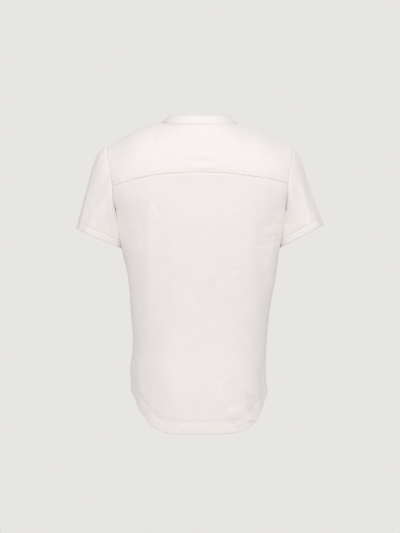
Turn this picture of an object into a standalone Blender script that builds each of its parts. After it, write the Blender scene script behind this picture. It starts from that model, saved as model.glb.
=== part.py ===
"""Short-sleeve henley of washed linen, filled out as it is worn, hollow and open.

Metres, +Z up. The front faces -Y and the wearer's left is +X. The origin lies midway
between the high points of the shoulders, where the wearer carries the garment.

The outside of the cloth is one surface, made of grids that share their points along
the seams. Each piece takes its own grids from it, is drawn back a little from its
seams and gets a wall on the inside.
"""

import math

import bmesh
import bpy
from mathutils import Vector
from mathutils.bvhtree import BVHTree


def table(columns, rows):
    """A short table as one dictionary for each row."""
    return [dict(zip(columns, row)) for row in rows]


# Cloth
WALL = 0.0013  # linen with its seam allowances pressed flat
HEM_WALL = 0.0019  # cloth turned up at a hem
SEAM_GAP = 0.0003  # between two pieces at a seam
LAY_GAP = 0.0004  # between a piece and the one that it lies on
WELD = 0.00002  # seam points closer than this are one point
VALLEY_STARTS = 0.6  # sine of the turn from which a seam counts as a valley
VALLEY_FULL = 0.9
MITRE_LEAST = 0.5  # keeps a border point near its place at a sharp corner
SHARP_ANGLE = 50  # degrees between two faces that meet in a visible edge

# Cells of the grids, counted for one half of the garment
ARM_CELLS = 4  # side seam to the corner of the armhole
SHOULDER_CELLS = 7  # armhole to neck
NECK_CELLS = 5  # half of the back neckline, and one side of the front one
BACK_CELLS = 4  # armhole corner up to the yoke seam
YOKE_CELLS = 6  # yoke seam up to the ridge of the shoulder
FORWARD_CELLS = 2  # ridge of the shoulder down to the front seam
FRONT_CELLS = 9  # armhole corner up to the front shoulder seam
BODY_CELLS = 20  # underarm down to the hem stitching
SLEEVE_CELLS = 8
BAND_CELLS = 2

# Body
BACK_TOP = -0.205  # centre back, level with the corners of the armholes
FRONT_TOP = -0.2355  # centre front, at the foot of the placket opening
HEM_DEPTH = 0.020
HEM_STEP = 0.0015  # the wall thickens over this height
HEM_LOW = -0.729  # lowest line of the shirt tail
ARM_FADE = 0.11  # the side has its plain section this far below the armhole

SECTIONS = table(
    ("z", "half", "back", "front", "square"),
    (
        (-0.128, 0.2350, 0.1170, 0.1180, 2.70),
        (-0.165, 0.2240, 0.1180, 0.1230, 2.80),
        (-0.200, 0.2080, 0.1182, 0.1250, 2.90),
        (-0.235, 0.1930, 0.1178, 0.1250, 2.90),
        (-0.270, 0.1875, 0.1162, 0.1235, 2.85),
        (-0.306, 0.1850, 0.1140, 0.1215, 2.80),
        (-0.372, 0.1745, 0.1090, 0.1180, 2.75),
        (-0.429, 0.1660, 0.1045, 0.1158, 2.65),
        (-0.495, 0.1600, 0.1010, 0.1145, 2.50),
        (-0.545, 0.1577, 0.1005, 0.1145, 2.40),
        (-0.590, 0.1588, 0.1020, 0.1150, 2.40),
        (-0.640, 0.1612, 0.1036, 0.1150, 2.35),
        (-0.690, 0.1620, 0.1026, 0.1145, 2.30),
        (-0.735, 0.1605, 0.0996, 0.1135, 2.30),
    ),
)

# Hem: rise above its lowest line, by the angle from the side seam in degrees
HEM = table(
    ("angle", "rise"),
    (
        (0, 0.0890),
        (8, 0.0830),
        (17, 0.0670),
        (25, 0.0480),
        (34, 0.0310),
        (44, 0.0175),
        (56, 0.0065),
        (70, 0.0010),
        (90, 0.0),
    ),
)

# Left armhole seam, from the shoulder over the back to the underarm and up the front
ARMHOLE = table(
    ("place", "x", "y", "z"),
    (
        ("ridge", 0.2190, -0.0020, -0.0630),
        ("back top", 0.2165, 0.0340, -0.0850),
        ("back high", 0.2090, 0.0640, -0.1200),
        ("yoke seam", 0.2035, 0.0770, -0.1560),
        ("back low", 0.1990, 0.0730, -0.1870),
        ("back corner", 0.1945, 0.0560, -0.2120),
        ("under back", 0.1912, 0.0300, -0.2270),
        ("underarm", 0.1900, 0.0000, -0.2325),
        ("under front", 0.1912, -0.0300, -0.2280),
        ("front corner", 0.1945, -0.0570, -0.2130),
        ("front low", 0.1990, -0.0735, -0.1870),
        ("front mid", 0.2045, -0.0760, -0.1500),
        ("front high", 0.2115, -0.0640, -0.1130),
        ("front seam", 0.2175, -0.0330, -0.0770),
    ),
)

# Yoke, shoulders and neckline
YOKE_CENTRE = -0.1305  # height of the yoke seam at the centre back
NECK_SIDE = Vector((0.0860, -0.0050, -0.0010))  # high point of the shoulder
NECK_BACK = Vector((0.0, 0.0680, -0.0155))
NECK_SEAM = Vector((0.0880, -0.0360, -0.0125))  # neck end of the front shoulder seam
NECK_FRONT = Vector((0.0, -0.0890, -0.0850))
NECK_SQUARE = 2.3  # how square the back neckline is: 2 is an ellipse
NECK_AXIS = Vector((0.0, -0.0120, 0.0))
SHOULDER_RISE = 0.0035  # of the shoulder line above a straight one
FRONT_FULLNESS = 0.95  # swell of the upper front: 1 is that of the yoke

# Directions in which the cloth runs
FORWARD_ON_RIDGE = Vector((0.0, -1.0, 0.10))
UP_TO_BACK_NECK = Vector((0.0, -0.42, 0.90))
UP_TO_SHOULDER = Vector((0.0, 0.76, 0.55))
UP_TO_FRONT_NECK = Vector((0.0, 0.40, 0.92))

# Placket
PLACKET_HALF = 0.0140  # half width of the opening
STRIP_HALF = 0.0165
STRIP_TAIL = 0.0120  # over strip below the foot of the opening
STRIP_WALL = 0.0014
STRIP_CELLS = 4
STRIP_DROP = 0.0010  # upper end of the over strip below the band's seam
BUTTON_HEIGHTS = (-0.108, -0.152, -0.196)
BUTTON_RADIUS = 0.0056
BUTTON_THICK = 0.0024
BUTTON_DISH = 0.0017  # thickness inside the rim
BUTTON_ROUND = 0.0006
BUTTON_RIM = 0.0014
BUTTON_BEVEL = 0.0008  # from the rim down to the dish
BUTTON_SIDES = 24

# Neckband: how far it leans in and rises. The way round is 0 at the centre back and 1 at
# the high point of the shoulder.
BAND_SEAM_WAY = 1.3  # at the front seam of the yoke
BAND_END_WAY = 2.0  # at the edge of the placket
BAND = table(
    ("way", "lean", "rise"),
    (
        (0.0, 0.0075, 0.0213),
        (1.0, 0.0145, 0.0158),
        (BAND_SEAM_WAY, 0.0155, 0.0150),
        (BAND_END_WAY, 0.0110, 0.0185),
    ),
)
BAND_CROWN = 0.0010  # swell of the band between its edges
BAND_LAP = 3  # points of its left end that lie over the right one

# Sleeves: each cuff is a sloped, slightly squared ellipse, given for a sleeve on the +X side
SLEEVE_HEM = 0.014
SLEEVE_EASE = 1.2  # rows lie closer together towards the armhole
CUFF_BACK = (-0.0080, 0.0610, -0.0030)  # from the middle of the cuff to its back
CUFF_SQUARE = 2.7  # power of the cuff's curve: 2 is an ellipse
CUFFS = table(
    ("side", "place", "x", "y", "z"),
    (
        (1, "inner", 0.1886, -0.0160, -0.3000),
        (1, "outer", 0.2930, 0.0060, -0.2550),
        (-1, "inner", 0.1888, -0.0160, -0.2990),
        (-1, "outer", 0.2912, 0.0120, -0.2460),
    ),
)
# How the cloth leaves the armhole and how it reaches the cuff
SLEEVE_PULLS = table(
    ("side", "place", "from_x", "from_y", "from_z", "to_x", "to_y", "to_z"),
    (
        (1, "top", 0.140, 0.000, -0.020, 0.055, -0.004, -0.165),
        (1, "back", 0.062, 0.010, -0.095, 0.045, -0.010, -0.125),
        (1, "under", 0.009, -0.002, -0.030, 0.003, -0.008, -0.070),
        (1, "front", 0.062, -0.016, -0.095, 0.045, -0.008, -0.125),
        (-1, "top", 0.085, 0.000, -0.075, 0.095, -0.004, -0.220),
        (-1, "back", 0.060, 0.010, -0.100, 0.050, -0.010, -0.125),
        (-1, "under", 0.009, -0.002, -0.030, 0.003, -0.008, -0.070),
        (-1, "front", 0.060, -0.016, -0.100, 0.050, -0.008, -0.125),
    ),
)

# How the worn cloth has settled: everything within the radius of a place, seen from
# behind, is shifted sideways and upwards
SETTLES = table(
    ("x", "z", "radius", "shift_x", "shift_z"),
    (
        (0.172, -0.040, 0.055, 0.0, 0.0058),
        (-0.125, -0.020, 0.050, 0.0, -0.0055),
        (0.190, -0.155, 0.050, 0.0, -0.0028),
        (-0.190, -0.155, 0.050, 0.0, 0.0025),
        (0.195, -0.250, 0.045, 0.0020, 0.0),
        (-0.197, -0.240, 0.050, -0.0060, 0.0),
        (0.0, 0.0, 0.090, 0.0022, 0.0),
        (0.265, -0.145, 0.045, -0.0028, 0.0),
        (-0.265, -0.150, 0.045, 0.0018, 0.0),
        (0.170, -0.370, 0.060, -0.0050, 0.0),
        (-0.172, -0.375, 0.060, -0.0034, 0.0),
        (0.158, -0.588, 0.042, 0.0068, 0.0),
        (0.142, -0.705, 0.040, -0.0055, 0.0055),
        (-0.160, -0.600, 0.075, 0.0032, 0.0),
    ),
)

# Largest soft folds. facing is 1 on the back and -1 on the front, angle is in degrees
# from the vertical, length and width are half sizes, and a positive height stands out.
FOLDS = table(
    ("facing", "x", "z", "angle", "length", "width", "height"),
    (
        (1, 0.158, -0.330, -4, 0.110, 0.014, -0.0030),
        (1, 0.118, -0.300, -3, 0.120, 0.012, 0.0018),
        (1, -0.150, -0.360, 5, 0.130, 0.015, -0.0028),
        (1, 0.146, -0.605, -4, 0.100, 0.036, -0.0080),
        (1, -0.128, -0.600, 3, 0.110, 0.024, -0.0025),
        (1, -0.135, -0.690, 12, 0.045, 0.028, -0.0060),
        (1, -0.085, -0.690, 35, 0.045, 0.013, 0.0035),
        (1, 0.060, -0.640, 4, 0.100, 0.022, 0.0020),
        (1, 0.201, -0.262, -7, 0.048, 0.010, 0.0040),
        (1, -0.202, -0.266, 7, 0.042, 0.010, 0.0040),
        (1, 0.245, -0.190, -25, 0.050, 0.012, -0.0030),
        (1, -0.240, -0.200, 22, 0.050, 0.012, -0.0030),
        (-1, 0.120, -0.420, -4, 0.140, 0.018, -0.0035),
        (-1, -0.130, -0.380, 5, 0.130, 0.016, -0.0032),
        (-1, 0.055, -0.560, 3, 0.130, 0.022, 0.0025),
        (-1, -0.060, -0.620, -4, 0.110, 0.020, -0.0028),
        (-1, 0.095, -0.270, 28, 0.060, 0.014, -0.0025),
        (-1, -0.100, -0.290, -30, 0.060, 0.014, -0.0025),
        (-1, 0.245, -0.200, -20, 0.050, 0.012, -0.0025),
        (-1, -0.245, -0.190, 24, 0.050, 0.012, -0.0025),
    ),
)

# Colour and roughness of each piece; nothing on it is metal
FINISHES = {
    "front": ((0.890, 0.862, 0.842), 0.90),
    "back": ((0.890, 0.862, 0.842), 0.90),
    "yoke": ((0.905, 0.878, 0.860), 0.90),
    "sleeve_left": ((0.885, 0.858, 0.838), 0.90),
    "sleeve_right": ((0.885, 0.858, 0.838), 0.90),
    "neckband": ((0.900, 0.873, 0.853), 0.88),
    "placket_under": ((0.890, 0.862, 0.842), 0.90),
    "placket_over": ((0.900, 0.873, 0.853), 0.88),
    "button": ((0.840, 0.800, 0.740), 0.35),
}


# ------------------------------------------------------------ curves


def cubic(start, leave, end, reach, t):
    """A point of the curve that leaves start along one pull and reaches end along another."""
    a = 2 * t**3 - 3 * t**2 + 1
    b = t**3 - 2 * t**2 + t
    c = t**3 - t**2
    return start * a + leave * b + end * (1 - a) + reach * c


def read(rows, key, at, want):
    """The smooth value of column want where column key equals at."""
    rows = sorted(rows, key=lambda row: row[key])
    at = min(max(at, rows[0][key]), rows[-1][key])
    index = max(i for i, row in enumerate(rows[:-1]) if row[key] <= at)
    low, high = rows[index], rows[index + 1]
    span = high[key] - low[key]

    def slope(i):
        before, after = rows[max(i - 1, 0)], rows[min(i + 1, len(rows) - 1)]
        return (after[want] - before[want]) / (after[key] - before[key]) * span

    return cubic(low[want], slope(index), high[want], slope(index + 1), (at - low[key]) / span)


def place(row):
    return Vector((row["x"], row["y"], row["z"]))


def mirrored(points):
    return [Vector((-point.x, point.y, point.z)) for point in points]


def ring_through(points, steps=16):
    """A smooth closed curve through the points, as one run of places for each of them."""
    runs = []
    for i, point in enumerate(points):
        before, after, later = (points[(i + k) % len(points)] for k in (-1, 1, 2))
        span = (after - point).length
        leave = (after - before) * (span / (span + (point - before).length))
        reach = (later - point) * (span / (span + (later - after).length))
        runs.append([cubic(point, leave, after, reach, k / steps) for k in range(steps)])
    return runs


def spaced(line, cells):
    """Points at even distances along a line, with its two ends."""
    lengths = [0.0]
    for a, b in zip(line, line[1:]):
        lengths.append(lengths[-1] + (b - a).length)
    points = []
    for k in range(1, cells):
        at = lengths[-1] * k / cells
        i = max(j for j, length in enumerate(lengths) if length <= at)
        points.append(line[i].lerp(line[i + 1], (at - lengths[i]) / (lengths[i + 1] - lengths[i])))
    return [line[0].copy()] + points + [line[-1].copy()]


def armhole_between(start, end, cells):
    """Seam points of the left armhole from one named place to another."""
    names = [row["place"] for row in ARMHOLE]
    runs = ring_through([place(row) for row in ARMHOLE])
    line, i = [], names.index(start)
    while names[i % len(names)] != end:
        line += runs[i % len(names)]
        i += 1
    return spaced(line + [runs[i % len(names)][0]], cells)


# ------------------------------------------------------------ body


def depth_name(back):
    return "back" if back else "front"


def section_point(angle, z, back):
    """A point of the plain section at height z, by its angle from the side seam."""
    power = 2 / read(SECTIONS, "z", z, "square")
    x = read(SECTIONS, "z", z, "half") * math.cos(angle) ** power
    y = read(SECTIONS, "z", z, depth_name(back)) * math.sin(angle) ** power
    return Vector((x, y if back else -y, z))


def row_from(edge, centre_z, back):
    """A row across half the body, whose section passes through the armhole point edge."""
    depth = read(SECTIONS, "z", centre_z, depth_name(back))
    square = read(SECTIONS, "z", centre_z, "square")
    half = edge.x / (1 - (abs(edge.y) / depth) ** square) ** (1 / square)
    first = math.asin((abs(edge.y) / depth) ** (square / 2))
    last = math.pi / 2 if back else math.acos((PLACKET_HALF / half) ** (square / 2))
    cells = SHOULDER_CELLS + NECK_CELLS
    angles = [first + (last - first) * k / cells for k in range(cells + 1)]
    if not back:
        angles.append(math.pi / 2)
    points = []
    for angle in angles:
        x = half * max(math.cos(angle), 0.0) ** (2 / square)
        y = depth * math.sin(angle) ** (2 / square)
        z = centre_z + (edge.z - centre_z) * (x / edge.x) ** 2
        points.append(Vector((x, y if back else -y, z)))
    points[0], points[-1].x = edge.copy(), 0.0
    return points


def section_angle(point, back):
    """The angle from the side seam at which the plain section comes nearest the point."""
    half = max(read(SECTIONS, "z", point.z, "half"), point.x)
    depth = read(SECTIONS, "z", point.z, depth_name(back))
    power = read(SECTIONS, "z", point.z, "square") / 2
    return math.atan2((abs(point.y) / depth) ** power, (point.x / half) ** power)


def lower_body(back):
    """Half of the body below the armhole, as rows down to the hem."""
    if back:
        arm = armhole_between("back corner", "underarm", ARM_CELLS)[::-1]
        top = arm + row_from(arm[-1], BACK_TOP, back)[1:]
    else:
        arm = armhole_between("underarm", "front corner", ARM_CELLS)
        top = arm + row_from(arm[-1], FRONT_TOP, back)[1:]
    columns = []
    for start in top:
        angle = section_angle(start, back)
        edge = HEM_LOW + read(HEM, "angle", math.degrees(angle), "rise")
        hem = edge + HEM_DEPTH
        heights = [start.z + (hem - start.z) * k / BODY_CELLS for k in range(BODY_CELLS + 1)]
        away = start - section_point(angle, start.z, back)
        column = []
        for z in heights + [hem - HEM_STEP, edge]:
            fade = max(1 - (start.z - z) / ARM_FADE, 0.0) ** 2
            column.append(section_point(angle, z, back) + away * fade)
        column[0] = start.copy()
        columns.append(column)
    for point in columns[-1]:
        point.x = 0.0
    if not back:
        for point in columns[-2]:
            point.x = PLACKET_HALF
    return [list(row) for row in zip(*columns)]


def upper_back():
    """Half of the back from the yoke seam down to the corner of the armhole."""
    rows = []
    for k, edge in enumerate(armhole_between("yoke seam", "back corner", BACK_CELLS)):
        centre = YOKE_CENTRE + (BACK_TOP - YOKE_CENTRE) * k / BACK_CELLS
        rows.append(row_from(edge, centre, True))
    return rows


# ------------------------------------------------------------ yoke and upper front


def bent(top, bottom, top_ways, bottom_ways, edge, fullness=1.0):
    """Rows between two lines that leave and reach them in the given directions.

    The first column is drawn onto edge, and its neighbours follow it less and less.
    """
    reach, cells = SHOULDER_CELLS - 1, len(edge) - 1
    rows = []
    for k in range(cells + 1):
        row = []
        for high, low, high_way, low_way in zip(top, bottom, top_ways, bottom_ways):
            pull = (high - low).length * fullness
            way_out, way_in = low_way.normalized() * pull, high_way.normalized() * pull
            row.append(cubic(low, way_out, high, way_in, 1 - k / cells))
        shift = edge[k] - row[0]
        for j in range(reach):
            row[j] += shift * (1 - j / reach) ** 2
        row[0] = edge[k].copy()
        rows.append(row)
    rows[0], rows[-1] = [p.copy() for p in top], [p.copy() for p in bottom]
    return rows


def shoulder_line(outer, inner):
    """From the armhole to the neck, with a slight rise that is fullest near the arm."""
    points = []
    for k in range(SHOULDER_CELLS + 1):
        t = k / SHOULDER_CELLS
        point = outer.lerp(inner, t)
        point.z += SHOULDER_RISE * (math.sin(math.pi * t) - math.sin(2 * math.pi * t) / 2)
        points.append(point)
    return points


def back_neckline():
    """From the high point of the shoulder to the centre back."""
    points = []
    for k in range(NECK_CELLS + 1):
        angle = math.pi / 2 * k / NECK_CELLS
        point = NECK_SIDE.lerp(NECK_BACK, math.sin(angle) ** (2 / NECK_SQUARE))
        point.x = NECK_SIDE.x * max(math.cos(angle), 0.0) ** (2 / NECK_SQUARE)
        points.append(point)
    points[-1].x = 0.0
    return points


def front_neckline():
    """From the front shoulder seam to the edge of the placket, and on to the centre."""
    points = []
    for k in range(NECK_CELLS + 1):
        angle = math.acos(PLACKET_HALF / NECK_SEAM.x) * k / NECK_CELLS
        point = NECK_SEAM.lerp(NECK_FRONT, math.sin(angle))
        point.x = NECK_SEAM.x * math.cos(angle)
        points.append(point)
    return points + [NECK_FRONT.copy()]


def turning(first, last):
    """Directions along the neckline that turn evenly from the first to the last."""
    return [first.lerp(last, k / NECK_CELLS) for k in range(NECK_CELLS + 1)]


def upward(row, below):
    return [point - lower for point, lower in zip(row, below)]


def ridge_line():
    return shoulder_line(place(ARMHOLE[0]), NECK_SIDE)


def front_seam_line():
    return shoulder_line(place(ARMHOLE[-1]), NECK_SEAM)


def yoke_back(seam, below):
    """Half of the yoke behind the ridge of the shoulder, from the top down."""
    ways = [FORWARD_ON_RIDGE] * SHOULDER_CELLS + turning(FORWARD_ON_RIDGE, UP_TO_BACK_NECK)
    return bent(
        ridge_line() + back_neckline()[1:],
        seam,
        ways,
        upward(seam, below),
        armhole_between("ridge", "yoke seam", YOKE_CELLS),
    )


def yoke_strip():
    """The part of the yoke in front of the ridge, from the front seam to the ridge."""
    return bent(
        front_seam_line(),
        ridge_line(),
        [-UP_TO_SHOULDER] * (SHOULDER_CELLS + 1),
        [FORWARD_ON_RIDGE] * (SHOULDER_CELLS + 1),
        armhole_between("front seam", "ridge", FORWARD_CELLS),
    )


def upper_front(bottom, below):
    """Half of the front above the foot of the placket, from the shoulder seam down."""
    ways = [UP_TO_SHOULDER] * SHOULDER_CELLS + turning(UP_TO_SHOULDER, UP_TO_FRONT_NECK)
    return bent(
        front_seam_line() + front_neckline()[1:],
        bottom,
        ways + [UP_TO_FRONT_NECK],
        upward(bottom, below),
        armhole_between("front corner", "front seam", FRONT_CELLS)[::-1],
        FRONT_FULLNESS,
    )


# ------------------------------------------------------------ sleeves and neckband


def armhole_ring():
    """The whole left armhole over the back and round, and the index of the underarm."""
    stretches = (
        ("ridge", "yoke seam", YOKE_CELLS),
        ("yoke seam", "back corner", BACK_CELLS),
        ("back corner", "underarm", ARM_CELLS),
        ("underarm", "front corner", ARM_CELLS),
        ("front corner", "front seam", FRONT_CELLS),
        ("front seam", "ridge", FORWARD_CELLS),
    )
    ring = []
    for start, end, cells in stretches:
        ring += armhole_between(start, end, cells)[:-1]
    return ring, YOKE_CELLS + BACK_CELLS + ARM_CELLS


def turn_angles(ring, under):
    """The angle of each ring point round the sleeve: 0 on top, half a turn underneath."""
    steps = [(ring[(k + 1) % len(ring)] - ring[k]).length for k in range(len(ring))]
    behind, ahead = sum(steps[:under]), sum(steps[under:])
    angles, run = [], 0.0
    for k, step in enumerate(steps):
        angles.append(math.pi * (run / behind if k < under else 1 + (run - behind) / ahead))
        run += step
    return angles


def sleeve_pull(side, end, angle):
    """Pull of the cloth at the armhole ("from") or at the cuff ("to")."""
    weights = {
        "top": max(math.cos(angle), 0.0) ** 2,
        "back": max(math.sin(angle), 0.0) ** 2,
        "under": max(-math.cos(angle), 0.0) ** 2,
        "front": max(-math.sin(angle), 0.0) ** 2,
    }
    total = Vector((0.0, 0.0, 0.0))
    for row in SLEEVE_PULLS:
        if row["side"] == side:
            pull = Vector((row[end + "_x"], row[end + "_y"], row[end + "_z"]))
            total += pull * weights[row["place"]]
    return total


def squared(value):
    """A sine or cosine bent from the ellipse to the cuff's squarer curve."""
    return math.copysign(abs(value) ** (2 / CUFF_SQUARE), value)


def sleeve(side):
    """Rows of one sleeve from the armhole to the cuff, each a closed ring."""
    inner, outer = (place(row) for row in CUFFS if row["side"] == side)
    middle, up, behind = (inner + outer) / 2, (outer - inner) / 2, Vector(CUFF_BACK)
    ring, under = armhole_ring()
    columns = []
    for start, angle in zip(ring, turn_angles(ring, under)):
        end = middle + up * squared(math.cos(angle)) + behind * squared(math.sin(angle))
        leave, reach = sleeve_pull(side, "from", angle), sleeve_pull(side, "to", angle)
        hem = 1 - SLEEVE_HEM / reach.length
        step = 1 - (SLEEVE_HEM - HEM_STEP) / reach.length
        shares = [hem * (k / SLEEVE_CELLS) ** SLEEVE_EASE for k in range(SLEEVE_CELLS + 1)]
        columns.append([cubic(start, leave, end, reach, t) for t in shares + [step, 1.0]])
    rows = [list(row) for row in zip(*columns)]
    if side < 0:
        rows = [mirrored(row[:1] + row[:0:-1]) for row in rows]
    return [row + [row[0].copy()] for row in rows]


def band_half():
    """Seam points of the band and their way round, from the centre back to the front."""
    stretches = (
        (back_neckline()[::-1], 0.0, 1.0, NECK_CELLS),
        ([row[-1] for row in yoke_strip()[::-1]], 1.0, BAND_SEAM_WAY, FORWARD_CELLS),
        (front_neckline(), BAND_SEAM_WAY, BAND_END_WAY, NECK_CELLS),
    )
    half = []
    for points, start, end, cells in stretches:
        ways = [start + (end - start) * min(k / cells, 1) for k in range(len(points))]
        half = half[:-1] + list(zip(points, ways))
    return half


def neckband():
    """Rows of the neckband from its edge down, its left end lapped over its right one."""
    half = band_half()
    other = [(Vector((-point.x, point.y, point.z)), way) for point, way in half]
    loop = [other[-2]] + half[::-1] + other[1:] + [half[-2]]
    columns = []
    for index, (base, way) in enumerate(loop):
        inward = (NECK_AXIS - base).xy.normalized().to_3d()
        lean, rise = read(BAND, "way", way, "lean"), read(BAND, "way", way, "rise")
        up = inward * lean + Vector((0, 0, rise))
        outward = (Vector((0, 0, lean)) - inward * rise).normalized()
        lift = WALL + LAY_GAP if index < BAND_LAP else 0.0
        column = []
        for k in range(BAND_CELLS + 1):
            t = 1 - k / BAND_CELLS
            column.append(base + up * t + outward * (lift + 4 * BAND_CROWN * t * (1 - t)))
        columns.append(column)
    return [list(row) for row in zip(*columns)]


# ------------------------------------------------------------ the shared surface


def over_the_back(half):
    return [row + mirrored(row[-2::-1]) for row in half]


def over_the_front(half):
    return [mirrored(row) + row[-2::-1] for row in half]


def garment_grids():
    """The grids of each piece: rows run down, columns anticlockwise seen from above."""
    high_back, low_back = upper_back(), lower_body(True)
    low_front = lower_body(False)
    high_front = over_the_front(upper_front(low_front[0][ARM_CELLS:], low_front[1][ARM_CELLS:]))
    strip = yoke_strip()
    opening = SHOULDER_CELLS + NECK_CELLS
    plain, hemmed = 0, 2  # rows at the foot of a grid that have the wall of a turned hem
    return {
        "back": [(over_the_back(high_back), plain), (over_the_back(low_back), hemmed)],
        "yoke": [
            (over_the_back(yoke_back(high_back[0], high_back[1])), plain),
            (strip, plain),
            ([mirrored(row[::-1]) for row in strip], plain),
        ],
        "front": [
            ([row[: opening + 1] for row in high_front], plain),
            ([row[opening + 2 :] for row in high_front], plain),
            (over_the_front(low_front), hemmed),
        ],
        "placket_under": [([row[opening : opening + 3] for row in high_front], plain)],
        "sleeve_left": [(sleeve(1), hemmed)],
        "sleeve_right": [(sleeve(-1), hemmed)],
        "neckband": [(neckband(), plain)],
    }


def settled(point):
    """The shift of a point by the way the worn cloth has settled."""
    shift = Vector((0.0, 0.0, 0.0))
    for row in SETTLES:
        away = ((point.x - row["x"]) ** 2 + (point.z - row["z"]) ** 2) / row["radius"] ** 2
        shift += Vector((row["shift_x"], 0.0, row["shift_z"])) * math.exp(-away)
    return shift


def fold_height(point, normal):
    """How far the soft folds move the cloth out at a point."""
    height = 0.0
    for fold in FOLDS:
        facing = max(normal.y * fold["facing"], 0.0)
        angle = math.radians(fold["angle"])
        right, down = point.x - fold["x"], point.z - fold["z"]
        along = (down * math.cos(angle) + right * math.sin(angle)) / fold["length"]
        across = (right * math.cos(angle) - down * math.sin(angle)) / fold["width"]
        height += fold["height"] * facing * math.exp(-(along**2) - across**2)
    return height


def garment_surface():
    """The whole outside of the cloth, its faces numbered by piece."""
    surface = bmesh.new()
    wall = surface.verts.layers.float.new("wall")
    names = []
    for name, grids in garment_grids().items():
        for grid, hem_rows in grids:
            corners = []
            for k, row in enumerate(grid):
                corners.append([surface.verts.new(point + settled(point)) for point in row])
                thick = HEM_WALL if k >= len(grid) - hem_rows else WALL
                for vert in corners[-1]:
                    vert[wall] = thick
            for upper, lower in zip(corners, corners[1:]):
                for c in range(len(upper) - 1):
                    face = surface.faces.new((upper[c], lower[c], lower[c + 1], upper[c + 1]))
                    face.material_index = len(names)
        names.append(name)
    bmesh.ops.remove_doubles(surface, verts=surface.verts, dist=WELD)
    surface.normal_update()
    moves = [vert.normal * fold_height(vert.co, vert.normal) for vert in surface.verts]
    for vert, move in zip(surface.verts, moves):
        vert.co += move
    bmesh.ops.triangulate(surface, faces=surface.faces, quad_method="SHORT_EDGE")
    surface.normal_update()
    return surface, names


# ------------------------------------------------------------ solids


def border_loops(faces):
    """Corner loops of the faces whose edge belongs to this piece alone."""
    own = set(faces)
    return [
        loop
        for face in faces
        for loop in face.loops
        if sum(other in own for other in loop.edge.link_faces) == 1
    ]


def into_face(loop):
    """The direction from an edge into its face, in the plane of the face."""
    along = loop.link_loop_next.vert.co - loop.vert.co
    return loop.face.normal.cross(along).normalized()


def borders(loops):
    """For each border point of a piece: its move off the seam and the normal of its wall.

    The move leads away from the mitre between the piece and its neighbour. In a valley,
    as at the underarm, the wall stands square on its own piece.
    """
    parts = {}
    for loop in loops:
        inward = into_face(loop)
        others = [into_face(o) for o in loop.edge.link_loops if o is not loop]
        across = (inward - others[0]).normalized() if others else inward
        rise = loop.face.normal.dot(others[0]) if others else 0.0
        for vert in (loop.vert, loop.link_loop_next.vert):
            parts.setdefault(vert, []).append((across, rise, loop.face.normal))
    moves, normals = {}, {}
    for vert, found in parts.items():
        total = sum((across for across, _, _ in found), Vector((0.0, 0.0, 0.0)))
        moves[vert] = total * (SEAM_GAP / 2 * len(found) / max(total.length_squared, MITRE_LEAST))
        steep = max(rise for _, rise, _ in found)
        own = sum((normal for _, _, normal in found), Vector((0.0, 0.0, 0.0))).normalized()
        share = min(max((steep - VALLEY_STARTS) / (VALLEY_FULL - VALLEY_STARTS), 0.0), 1.0)
        normals[vert] = vert.normal.lerp(own, share).normalized()
    return moves, normals


def cloth_piece(surface, number):
    """One piece of the surface as a closed wall of cloth."""
    faces = [face for face in surface.faces if face.material_index == number]
    loops = border_loops(faces)
    moves, normals = borders(loops)
    wall = surface.verts.layers.float["wall"]
    still = Vector((0.0, 0.0, 0.0))
    solid = bmesh.new()
    outside, inside = {}, {}
    for face in faces:
        for vert in face.verts:
            if vert not in outside:
                point = vert.co + moves.get(vert, still)
                outside[vert] = solid.verts.new(point)
                inside[vert] = solid.verts.new(point - normals.get(vert, vert.normal) * vert[wall])
    for face in faces:
        solid.faces.new([outside[vert] for vert in face.verts])
        solid.faces.new([inside[vert] for vert in reversed(face.verts)])
    for loop in loops:
        start, end = loop.vert, loop.link_loop_next.vert
        solid.faces.new((outside[end], outside[start], inside[start], inside[end]))
    return solid


def front_point(ground, x, z):
    """The place and the normal of the cloth at the front."""
    return ground.ray_cast(Vector((x, -1.0, z)), Vector((0, 1, 0)))[:2]


def lying_strip(ground, middle):
    """The over strip of the placket, as a bar that lies on the cloth along its middle line."""
    rows = []
    for x, z in middle:
        places = [x + STRIP_HALF * (2 * k / STRIP_CELLS - 1) for k in range(STRIP_CELLS + 1)]
        row = [front_point(ground, at, z) for at in places]
        out = sum((normal for _, normal in row), Vector((0.0, 0.0, 0.0)))
        out = Vector((0.0, out.y, out.z)).normalized()
        face = [point + out * (LAY_GAP + STRIP_WALL) for point, _ in row]
        back = [point + out * LAY_GAP for point, _ in row]
        rows.append(face + back[::-1])
    solid = bmesh.new()
    rings = [[solid.verts.new(point) for point in row] for row in rows]
    for upper, lower in zip(rings, rings[1:]):
        for k in range(len(upper)):
            after = (k + 1) % len(upper)
            solid.faces.new((upper[k], lower[k], lower[after], upper[after]))
    for ring, first in ((rings[0], True), (rings[-1], False)):
        for k in range(STRIP_CELLS):
            corners = (ring[k], ring[k + 1], ring[-2 - k], ring[-1 - k])
            solid.faces.new(corners if first else corners[::-1])
    return solid


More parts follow.
